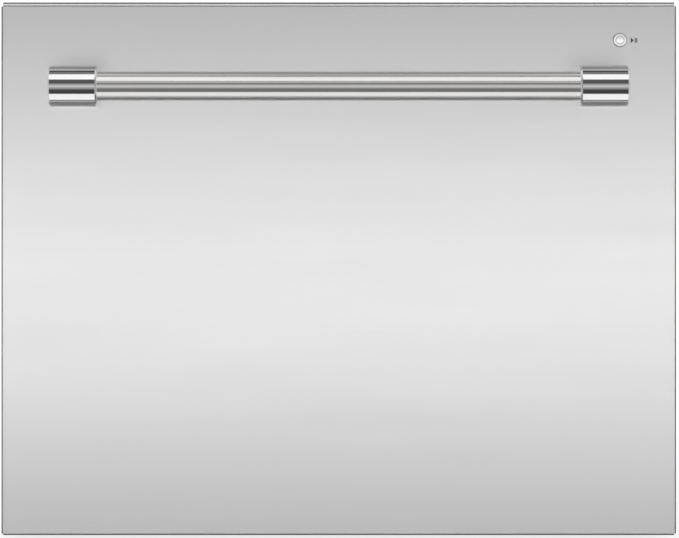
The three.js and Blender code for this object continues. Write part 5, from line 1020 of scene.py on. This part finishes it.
def tub_posts():
    """Hollow posts between the drawer front and the tub's front wall."""
    shell = Shell()
    for x, z in POST_PLACES:
        loops = []
        for wall, corner in ((0, 3), (POST_WALL, 1.5)):
            half_x, half_z = POST_HALF_X - wall, POST_HALF_Z - wall
            loops.append(rounded((x - half_x, z - half_z), (x + half_x, z + half_z), corner))
        plate(shell, loops, "y", POST_FRONT_Y, POST_BACK_Y + tub_wall_in(z))
    piece("tub_front_posts", shell, "drawer", "tub_plastic")


# ---------------- lid

LID_LOW, LID_HIGH = box_mm("lid_panel")
LID_Z = LID_LOW.z
LID_PROUD = 9.75  # of the lid's edge past the tub's inside
LID_CORNER = 51.75
SEAL_OFFSET = 5.5  # from the tub's inside to the seal's middle
SEAL_HALF = 3.25
LID_RIB_HALF = 1.5
LID_RIBS_X, LID_RIBS_Y = (-120, 120), (-110, 110)
LID_PIN = 3.0


def lid_ring(inset, height):
    corner = max(LID_CORNER - inset, LEAST_CORNER)
    return tub_ring(LID_PROUD - inset, corner, LID_Z + height)


def lid_panel():
    """A shallow dished lid with a flat land for the seal, stiffening ribs on top and a pin at each side."""
    shell = Shell()
    top = [(0.6, 0), (0, 0.6), (0, 6.2), (0.8, 7), (8, 7.7), (24, 8.6), (40, 9), (90, 9)]
    under = [(90, 6), (40, 6), (26, 4.4), (18.5, 2.4), (15.6, 1.2), (14.6, 0.3), (14, 0)]
    shell.rings([lid_ring(inset, height) for inset, height in (*top, *under)], closed=True)
    shell.rings([lid_ring(89.9, height) for height in (6, 9)])
    reach_x, reach_y = TUB_HALF_X + LID_PROUD - 50, TUB_HALF_Y + LID_PROUD - 50
    foot, crest = LID_Z + 8.7, LID_Z + 15
    ribs = [(x, 0, LID_RIB_HALF, reach_y) for x in LID_RIBS_X]
    ribs += [(0, y, reach_x, LID_RIB_HALF) for y in LID_RIBS_Y]
    for x, y, half_x, half_y in ribs:
        bar(shell, (x - half_x, TUB_Y + y - half_y, foot), (x + half_x, TUB_Y + y + half_y, crest))
    for side in (-1, 1):
        ends = [(side * x, TUB_Y, LID_Z + 4) for x in (LID_HIGH.x - 17, LID_HIGH.x)]
        rod(shell, ends, LID_PIN, 24)
    bevelled(stand_in("lid_moulding", shell, "lid_panel"), 0.4)


def lid_seal():
    """A hollow bulb seal with two foot lips, all round the lid's land."""
    low, high = box_mm("lid_seal")
    width, height = SEAL_HALF, high.z - low.z
    section = [(-width, 0), (-width, -1.2), (-width + 1, -1.8)]
    for i in range(9):
        angle = 0.15 + (math.pi - 0.3) * i / 8
        section.append((-math.cos(angle) * (width - 0.6), -1.8 - math.sin(angle) * (height - 1.8)))
    section += [(width - 1, -1.8), (width, -1.2), (width, 0)]
    rings = []
    for across, drop in section:
        out = SEAL_OFFSET + across
        rings.append(tub_ring(out, TUB_CORNER + out, high.z + drop))
    shell = Shell()
    shell.rings(rings, closed=True)
    stand_in("lid_seal_bulb", shell, "lid_seal", angle=50)


# ---------------- spray arm, filters, motor and pump

SPRAY_LOW, SPRAY_HIGH = box_mm("spray_arm")
SPRAY_REACH = SPRAY_HIGH.x
SPRAY_ROOT_HALF = 21.0
SPRAY_TIP_RADIUS = 12.0
NOZZLE_PLACES = [60 + 40 * i for i in range(4)]


def blade_outline(inset):
    """One blade's outline (x, y) from the hub out to its round tip and back."""
    tip_x = SPRAY_REACH - SPRAY_TIP_RADIUS
    points = []
    for i in range(13):
        t = i / 12
        x = (1 - t) ** 2 * 0.2 * tip_x + 2 * t * (1 - t) * 0.45 * tip_x + t * t * tip_x
        half = (1 - t) ** 2 * SPRAY_ROOT_HALF + 2 * t * (1 - t) * 15 + t * t * SPRAY_TIP_RADIUS
        points.append((x, half - inset))
    lower = [(8, inset - SPRAY_ROOT_HALF), *((x, -y) for x, y in points)]
    tip = arc((tip_x, 0), SPRAY_TIP_RADIUS - inset, -90, 90, 20)[1:-1]
    return [*lower, *tip, *((x, -y) for x, y in reversed(lower))]


def spray_arm():
    """Two blades moulded with a raised spine, nozzles and a hub with its cap nut."""
    shell = Shell()
    profile = [(4, 0), (1.2, 0.3), (0.3, 1.2), (0, 3), (0, 8), (0.4, 9.6), (2, 10.7), (5, 11), (8, 11.1)]
    profile += [(8.8, 11.6), (10, 11.8)]
    rings = []
    for inset, height in profile:
        half = blade_outline(inset)
        around = half + [(-x, -y) for x, y in half]
        rings.append([(x, TUB_Y + y, SPRAY_LOW.z + height) for x, y in around])
    shell.rings(rings)
    stand_in("spray_arm_moulding", shell, "spray_arm")
    hub = [(7.6, 0), (26, 0), (27, 1), (27, 8), (25.5, 10), (20, 11.9), (12, 12)]
    hub += [(11.6, 10.8), (10, 10.8), (9.6, 12, 6), (9.2, 12.6, 6), (4, 12.6), (3.6, 11.6), (AXIS, 11.4)]
    boss = turned(hub, "z", (0, TUB_Y, SPRAY_LOW.z), 72)
    nozzle = [(5.4, 10.4), (5, 11.6), (4.2, 12.3), (3, 12.4), (1.9, 12.2), (1.6, 10), (AXIS, 9.6)]
    for side in (-1, 1):
        for i, reach in enumerate(NOZZLE_PLACES):
            centre = (side * reach, TUB_Y + side * (5 if i % 2 else -5), SPRAY_LOW.z)
            turned(nozzle, "z", centre, 24, boss)
    piece("spray_arm_hub_and_nozzles", boss, "spray_arm_body", "grey_plastic")


def spray_hub():
    low, high = box_mm("spray_hub")
    shoulder, tip = SPRAY_LOW.z - 0.5 - low.z, high.z - low.z
    profile = [(AXIS, 0), (33, 0), (34, 1), (34, 3.4), (33, 4.2), (22, 6.5), (17, 9.5), (15.4, 13), (15, 16)]
    profile += [(15, shoulder - 1), (14, shoulder), (7, shoulder), (7, tip - 0.6), (6.4, tip), (AXIS, tip)]
    stand_in("spray_hub_turned", turned(profile, "z", (0, TUB_Y, low.z), 64), "spray_hub")


FILTER_LOW, FILTER_HIGH = box_mm("filter_plate")
DRAIN_LOW, DRAIN_HIGH = box_mm("drain_filter")
DRAIN_X = (DRAIN_LOW.x + DRAIN_HIGH.x) / 2
DRAIN_RADIUS = 28.0
FILTER_SLOTS = [(112, 12, 36), (62, 6, 34)]  # radius, count and length of each row
SLOT_HALF = 3.0


def filter_plate():
    """A pressed disc with radial slots, and holes for the spray hub and the drain filter."""
    shell = Shell()
    loops = [circle((0, 0), FILTER_HIGH.x, 128), circle((0, 0), 17, 48)]
    loops.append(circle((DRAIN_X, 0), DRAIN_RADIUS + 1, 64))
    for radius, count, length in FILTER_SLOTS:
        slot = rounded((-length / 2, -SLOT_HALF), (length / 2, SLOT_HALF), SLOT_HALF - 0.01, 5)
        for i in range(count):
            c, s = math.cos(2 * math.pi * i / count), math.sin(2 * math.pi * i / count)
            x, y = radius * c, radius * s
            if math.hypot(x - DRAIN_X, y) > DRAIN_RADIUS + length / 2 + 5:
                loops.append([(x + a * c - b * s, y + a * s + b * c) for a, b in slot])
    moved = [[(a, TUB_Y + b) for a, b in loop] for loop in loops]
    plate(shell, moved, "z", FILTER_LOW.z, FILTER_HIGH.z)
    stand_in("filter_plate_punched", shell, "filter_plate", angle=25)


def drain_filter():
    """A cup with a rolled collar and a turning grip across its mouth."""
    top = DRAIN_HIGH.z
    depth = top - DRAIN_LOW.z
    profile = [(AXIS, -depth), (22, -depth), (25, 1.5 - depth), (27.5, 5 - depth), (28, -6), (28, -1.7)]
    profile += [(31.4, -1.7), (32, -1.2), (32, -0.5), (31.4, 0), (25, 0), (24, -0.6), (23.4, -9.6)]
    profile += [(22.8, -10), (AXIS, -10)]
    shell = turned(profile, "z", (DRAIN_X, TUB_Y, top), 80)
    bar(shell, (DRAIN_X - 24, TUB_Y - 2, top - 10.5), (DRAIN_X + 24, TUB_Y + 2, top - 0.2))
    bevelled(stand_in("drain_filter_cup", shell, "drain_filter", angle=35), 0.5, 3)


def wash_motor():
    """A ribbed pump housing with its motor cover below and three lugs."""
    low, high = box_mm("wash_motor")
    top = high.z - low.z
    profile = [(AXIS, 0), (39, 0), (42, 2.5), (45.4, 13), (46, 14), (83, 15), (88, 17), (92, 21.5)]
    profile += [(92, top - 1), (91, top), (AXIS, top)]
    shell = turned(profile, "z", (0, TUB_Y, low.z), 96)
    for i in range(24):
        radial_bar(shell, 15 * i, (44, 90 if i % 4 == 0 else 84), 1.2, (low.z + 5, low.z + 18))
    for i in range(3):
        radial_bar(shell, 90 + 120 * i, (88, 108), 9, (low.z + top - 6, low.z + top))
    bevelled(stand_in("wash_motor_housing", shell, "wash_motor", angle=35), 0.6)


def radial_bar(shell, degrees, reach, half, heights):
    """A bar that points away from the tub's middle."""
    c, s = math.cos(math.radians(degrees)), math.sin(math.radians(degrees))
    corners = [(reach[0], -half), (reach[1], -half), (reach[1], half), (reach[0], half)]
    shell.rings([[(x * c - y * s, TUB_Y + x * s + y * c, z) for x, y in corners] for z in heights])


def drain_pump():
    """A finned motor and its pump chamber, with an outlet behind, an inlet and a terminal box."""
    low, high = box_mm("drain_pump")
    radius = 22.0
    x, z = low.x + radius, low.z + radius
    profile = [(AXIS, 0), (15.5, 0), (17, 1.5), (17, 33.5), (20.5, 34), (22, 36), (22, 44), (21, 44.6)]
    profile += [(21, 47.4), (22, 48), (22, 68.5), (20.5, 70), (10, 70), (8, 71), (8, 84), (9.2, 85)]
    profile += [(8, 88), (5.6, 88), (5.6, 80), (AXIS, 80)]
    shell = turned(profile, "y", (x, low.y, z), 64)
    inlet_y, reach = TUB_Y + 17.5, high.x - x
    inlet = [(7, 0), (7, reach - 0.6), (6.4, reach), (4.5, reach), (4.5, reach - 5), (AXIS, reach - 5)]
    turned(inlet, "x", (x, inlet_y, 75), 32, shell)
    bar(shell, (x - 8, inlet_y - 14, z + 18), (x + 8, inlet_y + 14, high.z))
    for fin_x, fin_z in circle((x, z), 16.9, 12):
        rod(shell, [(fin_x, low.y + 3, fin_z), (fin_x, low.y + 33, fin_z)], 1.2, 8)
    bevelled(stand_in("drain_pump_housing", shell, "drain_pump", angle=35), 0.4)


# ---------------- dispenser cap and control keys


def rinse_aid_cap():
    """A round cap with a finger grip across it."""
    low, high = box_mm("rinse_aid_cap")
    x, _, z = (low + high) / 2
    face = high.y - 9  # the dispenser's face
    profile = [(AXIS, -8), (12, -8), (12, 0.3), (18.4, 0.3), (19, 0.9), (19, 2.6), (17.8, 3.8), (17, 4)]
    shell = turned([*profile, (AXIS, 4)], "y", (x, face, z), 72)
    grip = rounded((x - 15, z - 2.2), (x + 15, z + 2.2), 2.1, 6)
    small = rounded((x - 14.2, z - 1.5), (x + 14.2, z + 1.5), 1.4, 6)
    levels = [(grip, 3.7), (grip, 8.2), (small, 9)]
    shell.rings([[(a, face + y, b) for a, b in loop] for loop, y in levels])
    stand_in("rinse_aid_cap_turned", shell, "rinse_aid_cap", angle=35)


KEY_DROP = 0.5  # the keys stay out of sight behind the front's top fold


def control_keys():
    """Three keys with a dished top, pushed straight down."""
    for node in ("control_key_1", "control_key_2", "control_key_3"):
        low, high = box_mm(node)
        radius, height = (high.x - low.x) / 2, high.z - low.z - KEY_DROP
        profile = [(radius - 0.3, 0), (radius, 0.3), (radius, height - 0.7)]
        profile += [(radius - 0.2, height - 0.2), (radius * 0.9, height)]
        for share in (0, 0.25, 0.5, 0.75, 0.99):
            dish = 0.45 * math.sin(math.pi / 2 * share)
            profile.append((radius * 0.82 * (1 - share), height - dish))
        x, y, _ = (low + high) / 2
        stand_in(node + "_dished", turned(profile, "z", (x, y, low.z), 48), node)


# ---------------- feet and rear fittings

FOOT_NAMES = ("foot_front_left", "foot_front_right", "foot_rear_left", "foot_rear_right")
STEM_FOOT = 7.3
THREAD_DEPTH = 0.7
ROWS_PER_TURN = 6
REAR_FITTINGS = (("power_inlet_gland", 9, 13), ("water_inlet_valve", 14, 20), ("drain_outlet", 12, 16))


def thread(shell, axis, centre, radius, pitch, length, sides):
    """A screw thread of one helix, faded out at both ends."""
    rows = round(length / pitch * ROWS_PER_TURN)
    rings = []
    for row in range(rows + 1):
        distance = length * row / rows
        fade = min(1.0, row / ROWS_PER_TURN, (rows - row) / ROWS_PER_TURN)
        ring = []
        for i in range(sides):
            turn = i / sides
            crest = 1 - abs(2 * ((distance / pitch - turn) % 1.0) - 1)
            reach = radius - THREAD_DEPTH * (1 - fade * min(1.0, 1.35 * crest))
            ring.append(ring_point(axis, centre, distance, reach, 2 * math.pi * turn))
        rings.append(ring)
    shell.rings(rings)


def levelling_feet():
    """A fluted plastic pad on a threaded stem."""
    for name in FOOT_NAMES:
        low, high = box_mm(name)
        x, y, _ = (low + high) / 2
        pad = (high.x - low.x) / 2
        edge = [(AXIS, 0), (pad - 1.6, 0), (pad - 0.3, 0.6), (pad, 1.6), (pad, 3.4), (pad - 0.8, 4.2)]
        cone = [(pad - 8, 7.2), (pad - 9.4, 8), (5.4, 8), (5.2, 7.4), (AXIS, 7.4)]
        shell = turned(edge + cone, "z", (x, y, low.z), 96)
        for vertex in shell.bm.verts:
            place = vertex.co / MM - Vector((x, y, 0))
            if math.hypot(place.x, place.y) > pad - 1:
                flute = max(0.0, math.cos(12 * math.atan2(place.y, place.x))) ** 2
                narrow = 1 - 0.045 * flute
                vertex.co.x = (x + place.x * narrow) * MM
                vertex.co.y = (y + place.y * narrow) * MM
        stand_in(name + "_pad", shell, name)
        stem = Shell()
        thread(stem, "z", (x, y, STEM_FOOT), 5.0, 1.5, high.z - STEM_FOOT, 24)
        piece(name + "_stem", stem, BODY_OF[name], "zinc_sheet", angle=60)


def rear_fittings():
    """The power gland with its hexagon, the threaded water inlet and the barbed drain outlet."""
    for name, neck, inner in REAR_FITTINGS:
        low, high = box_mm(name)
        x, _, z = (low + high) / 2
        wall = REAR_Y - 1.5 - low.y
        start = wall + 1.8
        length = high.y - low.y
        body = [(AXIS, 0), (inner - 3, 0), (inner - 1, 0.8), (inner, 3), (inner, wall - 0.6)]
        body += [(inner - 0.6, wall), (neck, wall), (neck, start)]
        collar = neck + 3
        if name == "power_inlet_gland":
            spigot = [(collar, start, 6), (collar, start + 5.4, 6), (collar - 1.4, start + 6.4, 6)]
            spigot += [(9.4, start + 6.6), (9.2, start + 9), (8, start + 12.5), (7, length - 0.8)]
            spigot += [(6.2, length), (4, length), (4, length - 12), (AXIS, length - 12)]
        elif name == "water_inlet_valve":
            spigot = [(collar, start, 8), (collar, start + 2.4, 8), (collar - 1, start + 3, 8)]
            spigot += [(12.4, start + 3), (12.4, length), (8, length), (8, length - 11), (3, length - 11)]
            spigot += [(2.6, length - 8), (AXIS, length - 7.6)]
        else:
            spigot = [(collar, start), (collar, start + 2.4), (collar - 1, start + 3), (8.4, start + 3)]
            for barb in (start + 4.4 + 3.9 * i for i in range(3)):
                spigot += [(8.4, barb), (9.5, barb + 0.5), (9.5, barb + 1), (8.3, barb + 3.7)]
            spigot += [(8, length), (7, length), (7, length - 12), (AXIS, length - 12)]
        shell = turned(body + spigot, "y", (x, low.y, z), 48)
        if name == "water_inlet_valve":
            thread(shell, "y", (x, low.y + start + 3, z), 13.2, 1.8, length - start - 4, 40)
        stand_in(name + "_turned", shell, name, angle=35)


# ---------------- screws and signs

SIDE_X = box_mm("chassis_side_right")[1].x
TOP_Z = box_mm("chassis_top_panel")[1].z
REAR_Y = box_mm("chassis_rear_panel")[1].y
CHASSIS_FRONT_Y = box_mm("chassis_side_right")[0].y
SCREW_EDGE = 8.5  # from a screw's middle to the edge of its sheet
BRACKET_SHEET = 1.5
REAR_SCREW_HEIGHTS = (52, 128, 204, 330, 452)
TOP_SCREW_PLACES = (26, 150, 274, 398, 506)  # from the chassis's front
# Screws on both sides: places from the chassis's front, height, how far out they sit, and radius.
SIDE_SCREWS = [
    ((92, 270, 446), 150, 0, 3.2),
    ((199, 291), 411, 0, 2.6),
    ((32, 42), 435, BRACKET_SHEET, 2.2),
]
MIDDLE_SCREWS = (-170, 0, 170)


def screw(shell, axis, way, centre, radius=3.6):
    """A pan head with a hexagon socket. It stands proud along an axis, one way or the other."""
    proud = 0.5 * radius
    head = [(1, 0.3), (0.9, 0.7), (0.68, 0.94), (0.52, 1), (0.48, 1, 6), (0.46, 0.25, 6)]
    profile = [(radius * across, way * proud * up, *sides) for across, up, *sides in head]
    profile = [(radius, way * -0.3), *profile, (AXIS, way * proud * 0.15)]
    turned(profile, axis, centre, 24, shell)


def chassis_screws():
    shell = Shell()
    for side in (-1, 1):
        edge_x = side * (SIDE_X - SCREW_EDGE)
        for z in REAR_SCREW_HEIGHTS:
            screw(shell, "y", 1, (edge_x, REAR_Y, z))
        for y in TOP_SCREW_PLACES:
            screw(shell, "z", 1, (edge_x, CHASSIS_FRONT_Y + y, TOP_Z))
        for places, z, out, radius in SIDE_SCREWS:
            for y in places:
                screw(shell, "x", side, (side * (SIDE_X + out), CHASSIS_FRONT_Y + y, z), radius)
    for x in MIDDLE_SCREWS:
        screw(shell, "y", 1, (x, REAR_Y, 458))
        screw(shell, "z", 1, (x, REAR_Y - SCREW_EDGE, TOP_Z))
    piece("chassis_screws", shell, "chassis", "zinc_sheet")


def frame_screws():
    """Screws through the inner frame, which hold the folded skin and the handle."""
    low, high = box_mm("front_inner_frame")
    places = [
        (side * (high.x - 6), z)
        for side in (-1, 1)
        for z in (low.z + 7, low.z + 150, low.z + 300, high.z - 8)
    ]
    places += [(x, low.z + 6) for x in (-180, -60, 60, 180)]
    shell = Shell()
    for x, z in places:
        screw(shell, "y", 1, (x, high.y, z), 2.8)
    piece("front_frame_screws", shell, "drawer", "zinc_sheet")


SIGN_THICK = 0.04
START_SIGN = [(259.2, 440.7), (261.9, 443.35), (259.2, 446.0)]
PAUSE_BARS = [(262.9, 263.75), (264.15, 265.0)]
PAUSE_HEIGHTS = (441.2, 445.5)


def printed_signs():
    """The start and pause signs beside the button, as thin as print."""
    low, high = PAUSE_HEIGHTS
    outlines = [START_SIGN]
    for left, right in PAUSE_BARS:
        outlines.append([(left, low), (right, low), (right, high), (left, high)])
    shell = Shell()
    for outline in outlines:
        plate(shell, [outline], "y", FACE_Y - SIGN_THICK, FACE_Y + 0.2)
    piece("start_and_pause_signs", shell, "drawer", "dark_plastic", angle=20)


# ---------------- build

folded_skin = front_skin()
button = start_button()
handle = handle_bar()
posts = [handle_post(-1, "handle_post_left"), handle_post(1, "handle_post_right")]
rack_floor()
rack_side_wall(-1, "rack_wall_left")
rack_side_wall(1, "rack_wall_right")
rack_end_wall(-1, "rack_wall_front")
rack_end_wall(1, "rack_wall_rear")
for name, x in TINE_ROWS.items():
    tine_row(name, x)
cup_shelf(-1, "cup_shelf_left")
cup_shelf(1, "cup_shelf_right")
cutlery_lattice()
tub()
tub_rails()
tub_posts()
lid_panel()
lid_seal()
spray_arm()
spray_hub()
filter_plate()
drain_filter()
wash_motor()
drain_pump()
rinse_aid_cap()
control_keys()
levelling_feet()
rear_fittings()
chassis_screws()
frame_screws()
printed_signs()

for name, node in frame["nodes"].items():
    node.data.materials.clear()
    node.data.materials.append(FINISHES[SLOT_OF[name]])
    if not node.hide_render:
        shade(node, 38)
        bevelled(node, 0.4)


# ---------------- studio

# What polished metal sees in front of the drawer: (elevation in degrees, brightness).
FRONT_BANDS = [
    (-90, 0.20),
    (-50, 0.16),
    (-43, 0.06),
    (-24, 0.06),
    (-18, 0.26),
    (-3, 0.66),
    (2, 0.50),
    (9, 0.30),
    (14, 0.09),
    (31, 0.11),
    (36, 0.22),
    (69, 0.20),
    (75, 0.30),
    (80, 0.07),
    (90, 0.05),
]
# The same behind it, which the back and the sides of the chassis reflect.
REAR_BANDS = [(-90, 0.50), (-30, 0.68), (20, 0.78), (55, 0.78), (90, 0.34)]
# By turn, from 0 at the front to 1 at the back: how much of the rear bands shows, and how bright it is.
FRONT_TO_REAR = [(0.3, 0.0), (0.6, 1.0)]
SIDE_TURNS = [(0.0, 1.0), (0.16, 1.0), (0.2, 0.45), (0.44, 0.45), (0.55, 0.95)]
FLAG_TURN, FLAG_LOWEST, FLAG_SHADE = 0.9, 36, 0.6  # a dark flag high up behind the drawer
DIFFUSE_SKY = 0.62
RAY_KINDS = ("Is Camera Ray", "Is Glossy Ray", "Is Transmission Ray")
CARD_DISTANCE = 1.5
CARD_WIDTH = 2.2
STRIP_PLACE = (0, FACE_Y * MM - 0.75, 0.224)  # it goes with the drawer, so each pose looks alike
STRIP_SIZE = (2.6, 0.19)
BUTTON_CARD_PLACE = (0.35, -1.02, 0.54)
BUTTON_CARD_TARGET = (0.25, -0.023, 0.444)
FLOOR_REACH = 15.0
FLOOR_GLOW = 0.8  # how much of the floor's white doesn't depend on its light, near the drawer
MIDDLE = (0, 0, 0.25)  # what the lamps point at

# The lamps: name, place, width, height, power.
LAMPS = [
    ("key_light", (-1.6, -2.4, 2.6), 1.8, 1.8, 55),
    ("fill_light", (2.2, -1.2, 1.6), 1.6, 1.6, 22),
    ("back_light", (0.4, 2.4, 2.2), 1.6, 1.2, 26),
]

# The cards that only the handle's bar reflects: name, lowest and highest elevation, brightness.
BAR_CARDS = [
    ("bar_upper_card", 38, 76, 0.9),
    ("bar_lower_card", -86, -50, 0.84),
    ("bar_back_card", 80, 112, 0.3),
    ("bar_under_card", -130, -92, 0.5),
    ("bar_fill_card", -48, 36, 0.14),
    ("bar_glint_card", 24, 33, 0.4),
]


def studio_world():
    world = bpy.data.worlds.new("studio")
    bpy.context.scene.world = world
    nodes = Nodes(world)
    direction = nodes.add("ShaderNodeTexCoord", output="Generated")
    east, north, up = nodes.coordinates(direction)
    elevation = up.math("ARCSINE") * (180 / math.pi)
    height = (elevation + 90) / 180
    front, rear = (
        nodes.ramp(height, [((angle + 90) / 180, bright) for angle, bright in bands])
        for bands in (FRONT_BANDS, REAR_BANDS)
    )
    turn = abs(east.math("ARCTAN2", north * -1)) / math.pi
    flag = (turn > FLAG_TURN) * (elevation > FLAG_LOWEST) * FLAG_SHADE
    bands = nodes.blend(nodes.ramp(turn, FRONT_TO_REAR), front, rear)
    bands = nodes.scaled(bands, nodes.ramp(turn, SIDE_TURNS) * (1 - flag))
    seen, glossy, through = (nodes.add("ShaderNodeLightPath", output=kind) for kind in RAY_KINDS)
    white = nodes.add("ShaderNodeBackground", {}, {"Color": (1, 1, 1, 1), "Strength": 1.0})
    soft = nodes.add("ShaderNodeBackground", {}, {"Color": (1, 1, 1, 1), "Strength": DIFFUSE_SKY})
    banded = nodes.add("ShaderNodeBackground", {}, {"Color": bands, "Strength": 1.0})
    lit = nodes.add("ShaderNodeMixShader", {}, {0: glossy, 1: soft, 2: banded})
    shown = nodes.add("ShaderNodeMixShader", {}, {0: seen + through, 1: lit, 2: white})
    nodes.add("ShaderNodeOutputWorld", {}, {"Surface": shown})


def studio_floor():
    """A white floor. Its glow fades in with distance, so no horizon shows."""
    mesh = bpy.data.meshes.new("studio_floor")
    reach = FLOOR_REACH
    corners = [(-reach, -reach, 0), (reach, -reach, 0), (reach, reach, 0), (-reach, reach, 0)]
    mesh.from_pydata(corners, [], [(0, 1, 2, 3)])
    floor = placed("studio_floor", mesh)
    material = bpy.data.materials.new("studio_floor")
    nodes = Nodes(material)
    place = nodes.add("ShaderNodeTexCoord", output="Object")
    distance = nodes.add("ShaderNodeVectorMath", {"operation": "LENGTH"}, {0: place}, "Value")
    glowing = nodes.ramp(distance / reach, [(0.1, FLOOR_GLOW), (0.4, 1.0)])
    seen = sum(nodes.add("ShaderNodeLightPath", output=kind) for kind in RAY_KINDS) * glowing
    matt = nodes.add("ShaderNodeBsdfDiffuse", {}, {"Color": (0.9, 0.9, 0.9, 1)})
    glow = nodes.add("ShaderNodeEmission", {}, {"Color": (1, 1, 1, 1), "Strength": 1.0})
    mixed = nodes.add("ShaderNodeMixShader", {}, {0: seen, 1: matt, 2: glow})
    nodes.add("ShaderNodeOutputMaterial", {}, {"Surface": mixed})
    mesh.materials.append(material)
    floor.visible_glossy = False  # metal sees the studio's bands below the horizon too


def soft_box(name, place, target, width, height, power):
    data = bpy.data.lights.new(name, "AREA")
    data.shape = "RECTANGLE"
    data.size, data.size_y = width, height
    data.energy = power
    lamp = placed(name, data)
    lamp.location = place
    lamp.rotation_euler = (Vector(target) - Vector(place)).to_track_quat("-Z", "Y").to_euler()
    lamp.visible_glossy = False
    return lamp


def gathered(name, objects):
    collection = bpy.data.collections.new(name)
    for member in objects:
        collection.objects.link(member)
    return collection


def reflected_card(name, place, target, width, height, brightness, receivers, blockers=()):
    """A lit card that only some pieces reflect. Brightness 1 is white in a mirror."""
    lamp = soft_box(name, place, target, width, height, math.pi * width * height * brightness)
    lamp.visible_glossy = True
    lamp.visible_camera = False
    lamp.data.use_shadow = bool(blockers)
    lamp.light_linking.receiver_collection = gathered("lit_by_" + name, receivers)
    if blockers:
        lamp.light_linking.blocker_collection = gathered("shading_" + name, blockers)
    return lamp


def handle_card(name, lowest, highest, brightness, receivers):
    """A long card above or below the handle, between two elevations as the handle sees them."""
    target = Vector((0, BAR_Y, BAR_Z)) * MM
    middle = math.radians((lowest + highest) / 2)
    place = target + Vector((0, -math.cos(middle), math.sin(middle))) * CARD_DISTANCE
    height = 2 * CARD_DISTANCE * math.tan(math.radians((highest - lowest) / 2))
    reflected_card(name, place, target, CARD_WIDTH, height, brightness, receivers)


def photographers_camera():
    """Straight on, framed so that the panel covers the pixels that it has in the photograph."""
    px = (SKIN_HIGH.x - SKIN_LOW.x) / (PANEL_RIGHT_PX - PANEL_LEFT_PX)
    right = (PHOTO_CENTRE_X_PX - (PANEL_LEFT_PX + PANEL_RIGHT_PX) / 2) * px
    down = (PHOTO_CENTRE_Y_PX - (PANEL_TOP_PX + PANEL_BOTTOM_PX) / 2) * px
    x = (SKIN_LOW.x + SKIN_HIGH.x) / 2 + right
    z = (SKIN_LOW.z + SKIN_HIGH.z) / 2 - down
    data = bpy.data.cameras.new("camera")
    data.sensor_width = SENSOR_WIDTH
    data.sensor_fit = "HORIZONTAL"
    data.lens = SENSOR_WIDTH * CAMERA_DISTANCE / (PHOTO_WIDTH * px)
    data.clip_end = 100
    camera = placed("camera", data)
    camera.location = Vector((x, FACE_Y - CAMERA_DISTANCE, z)) * MM
    camera.rotation_euler = (math.radians(90), 0, 0)
    bpy.context.scene.camera = camera


studio_world()
studio_floor()
for name, place, *size_and_power in LAMPS:
    soft_box(name, place, MIDDLE, *size_and_power)
for part in (handle, *posts):
    part.visible_glossy = False  # the sheet shows no more of the handle than the posts' faint shade
for name, brightness, blockers in (("front_strip", 3.36, ()), ("shaded_strip", 1.1, posts)):
    target = (0, 0, STRIP_PLACE[2])
    strip = reflected_card(name, STRIP_PLACE, target, *STRIP_SIZE, brightness, [folded_skin], blockers)
    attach(strip, "drawer")
handle_card("upper_card", 34, 65, 0.9, [*posts, folded_skin])
handle_card("lower_card", -84, -46, 0.86, posts)
for card in BAR_CARDS:
    handle_card(*card, [handle])
reflected_card("button_card", BUTTON_CARD_PLACE, BUTTON_CARD_TARGET, 0.7, 0.7, 0.6, [button])
photographers_camera()
bpy.context.scene.view_settings.view_transform = "Standard"
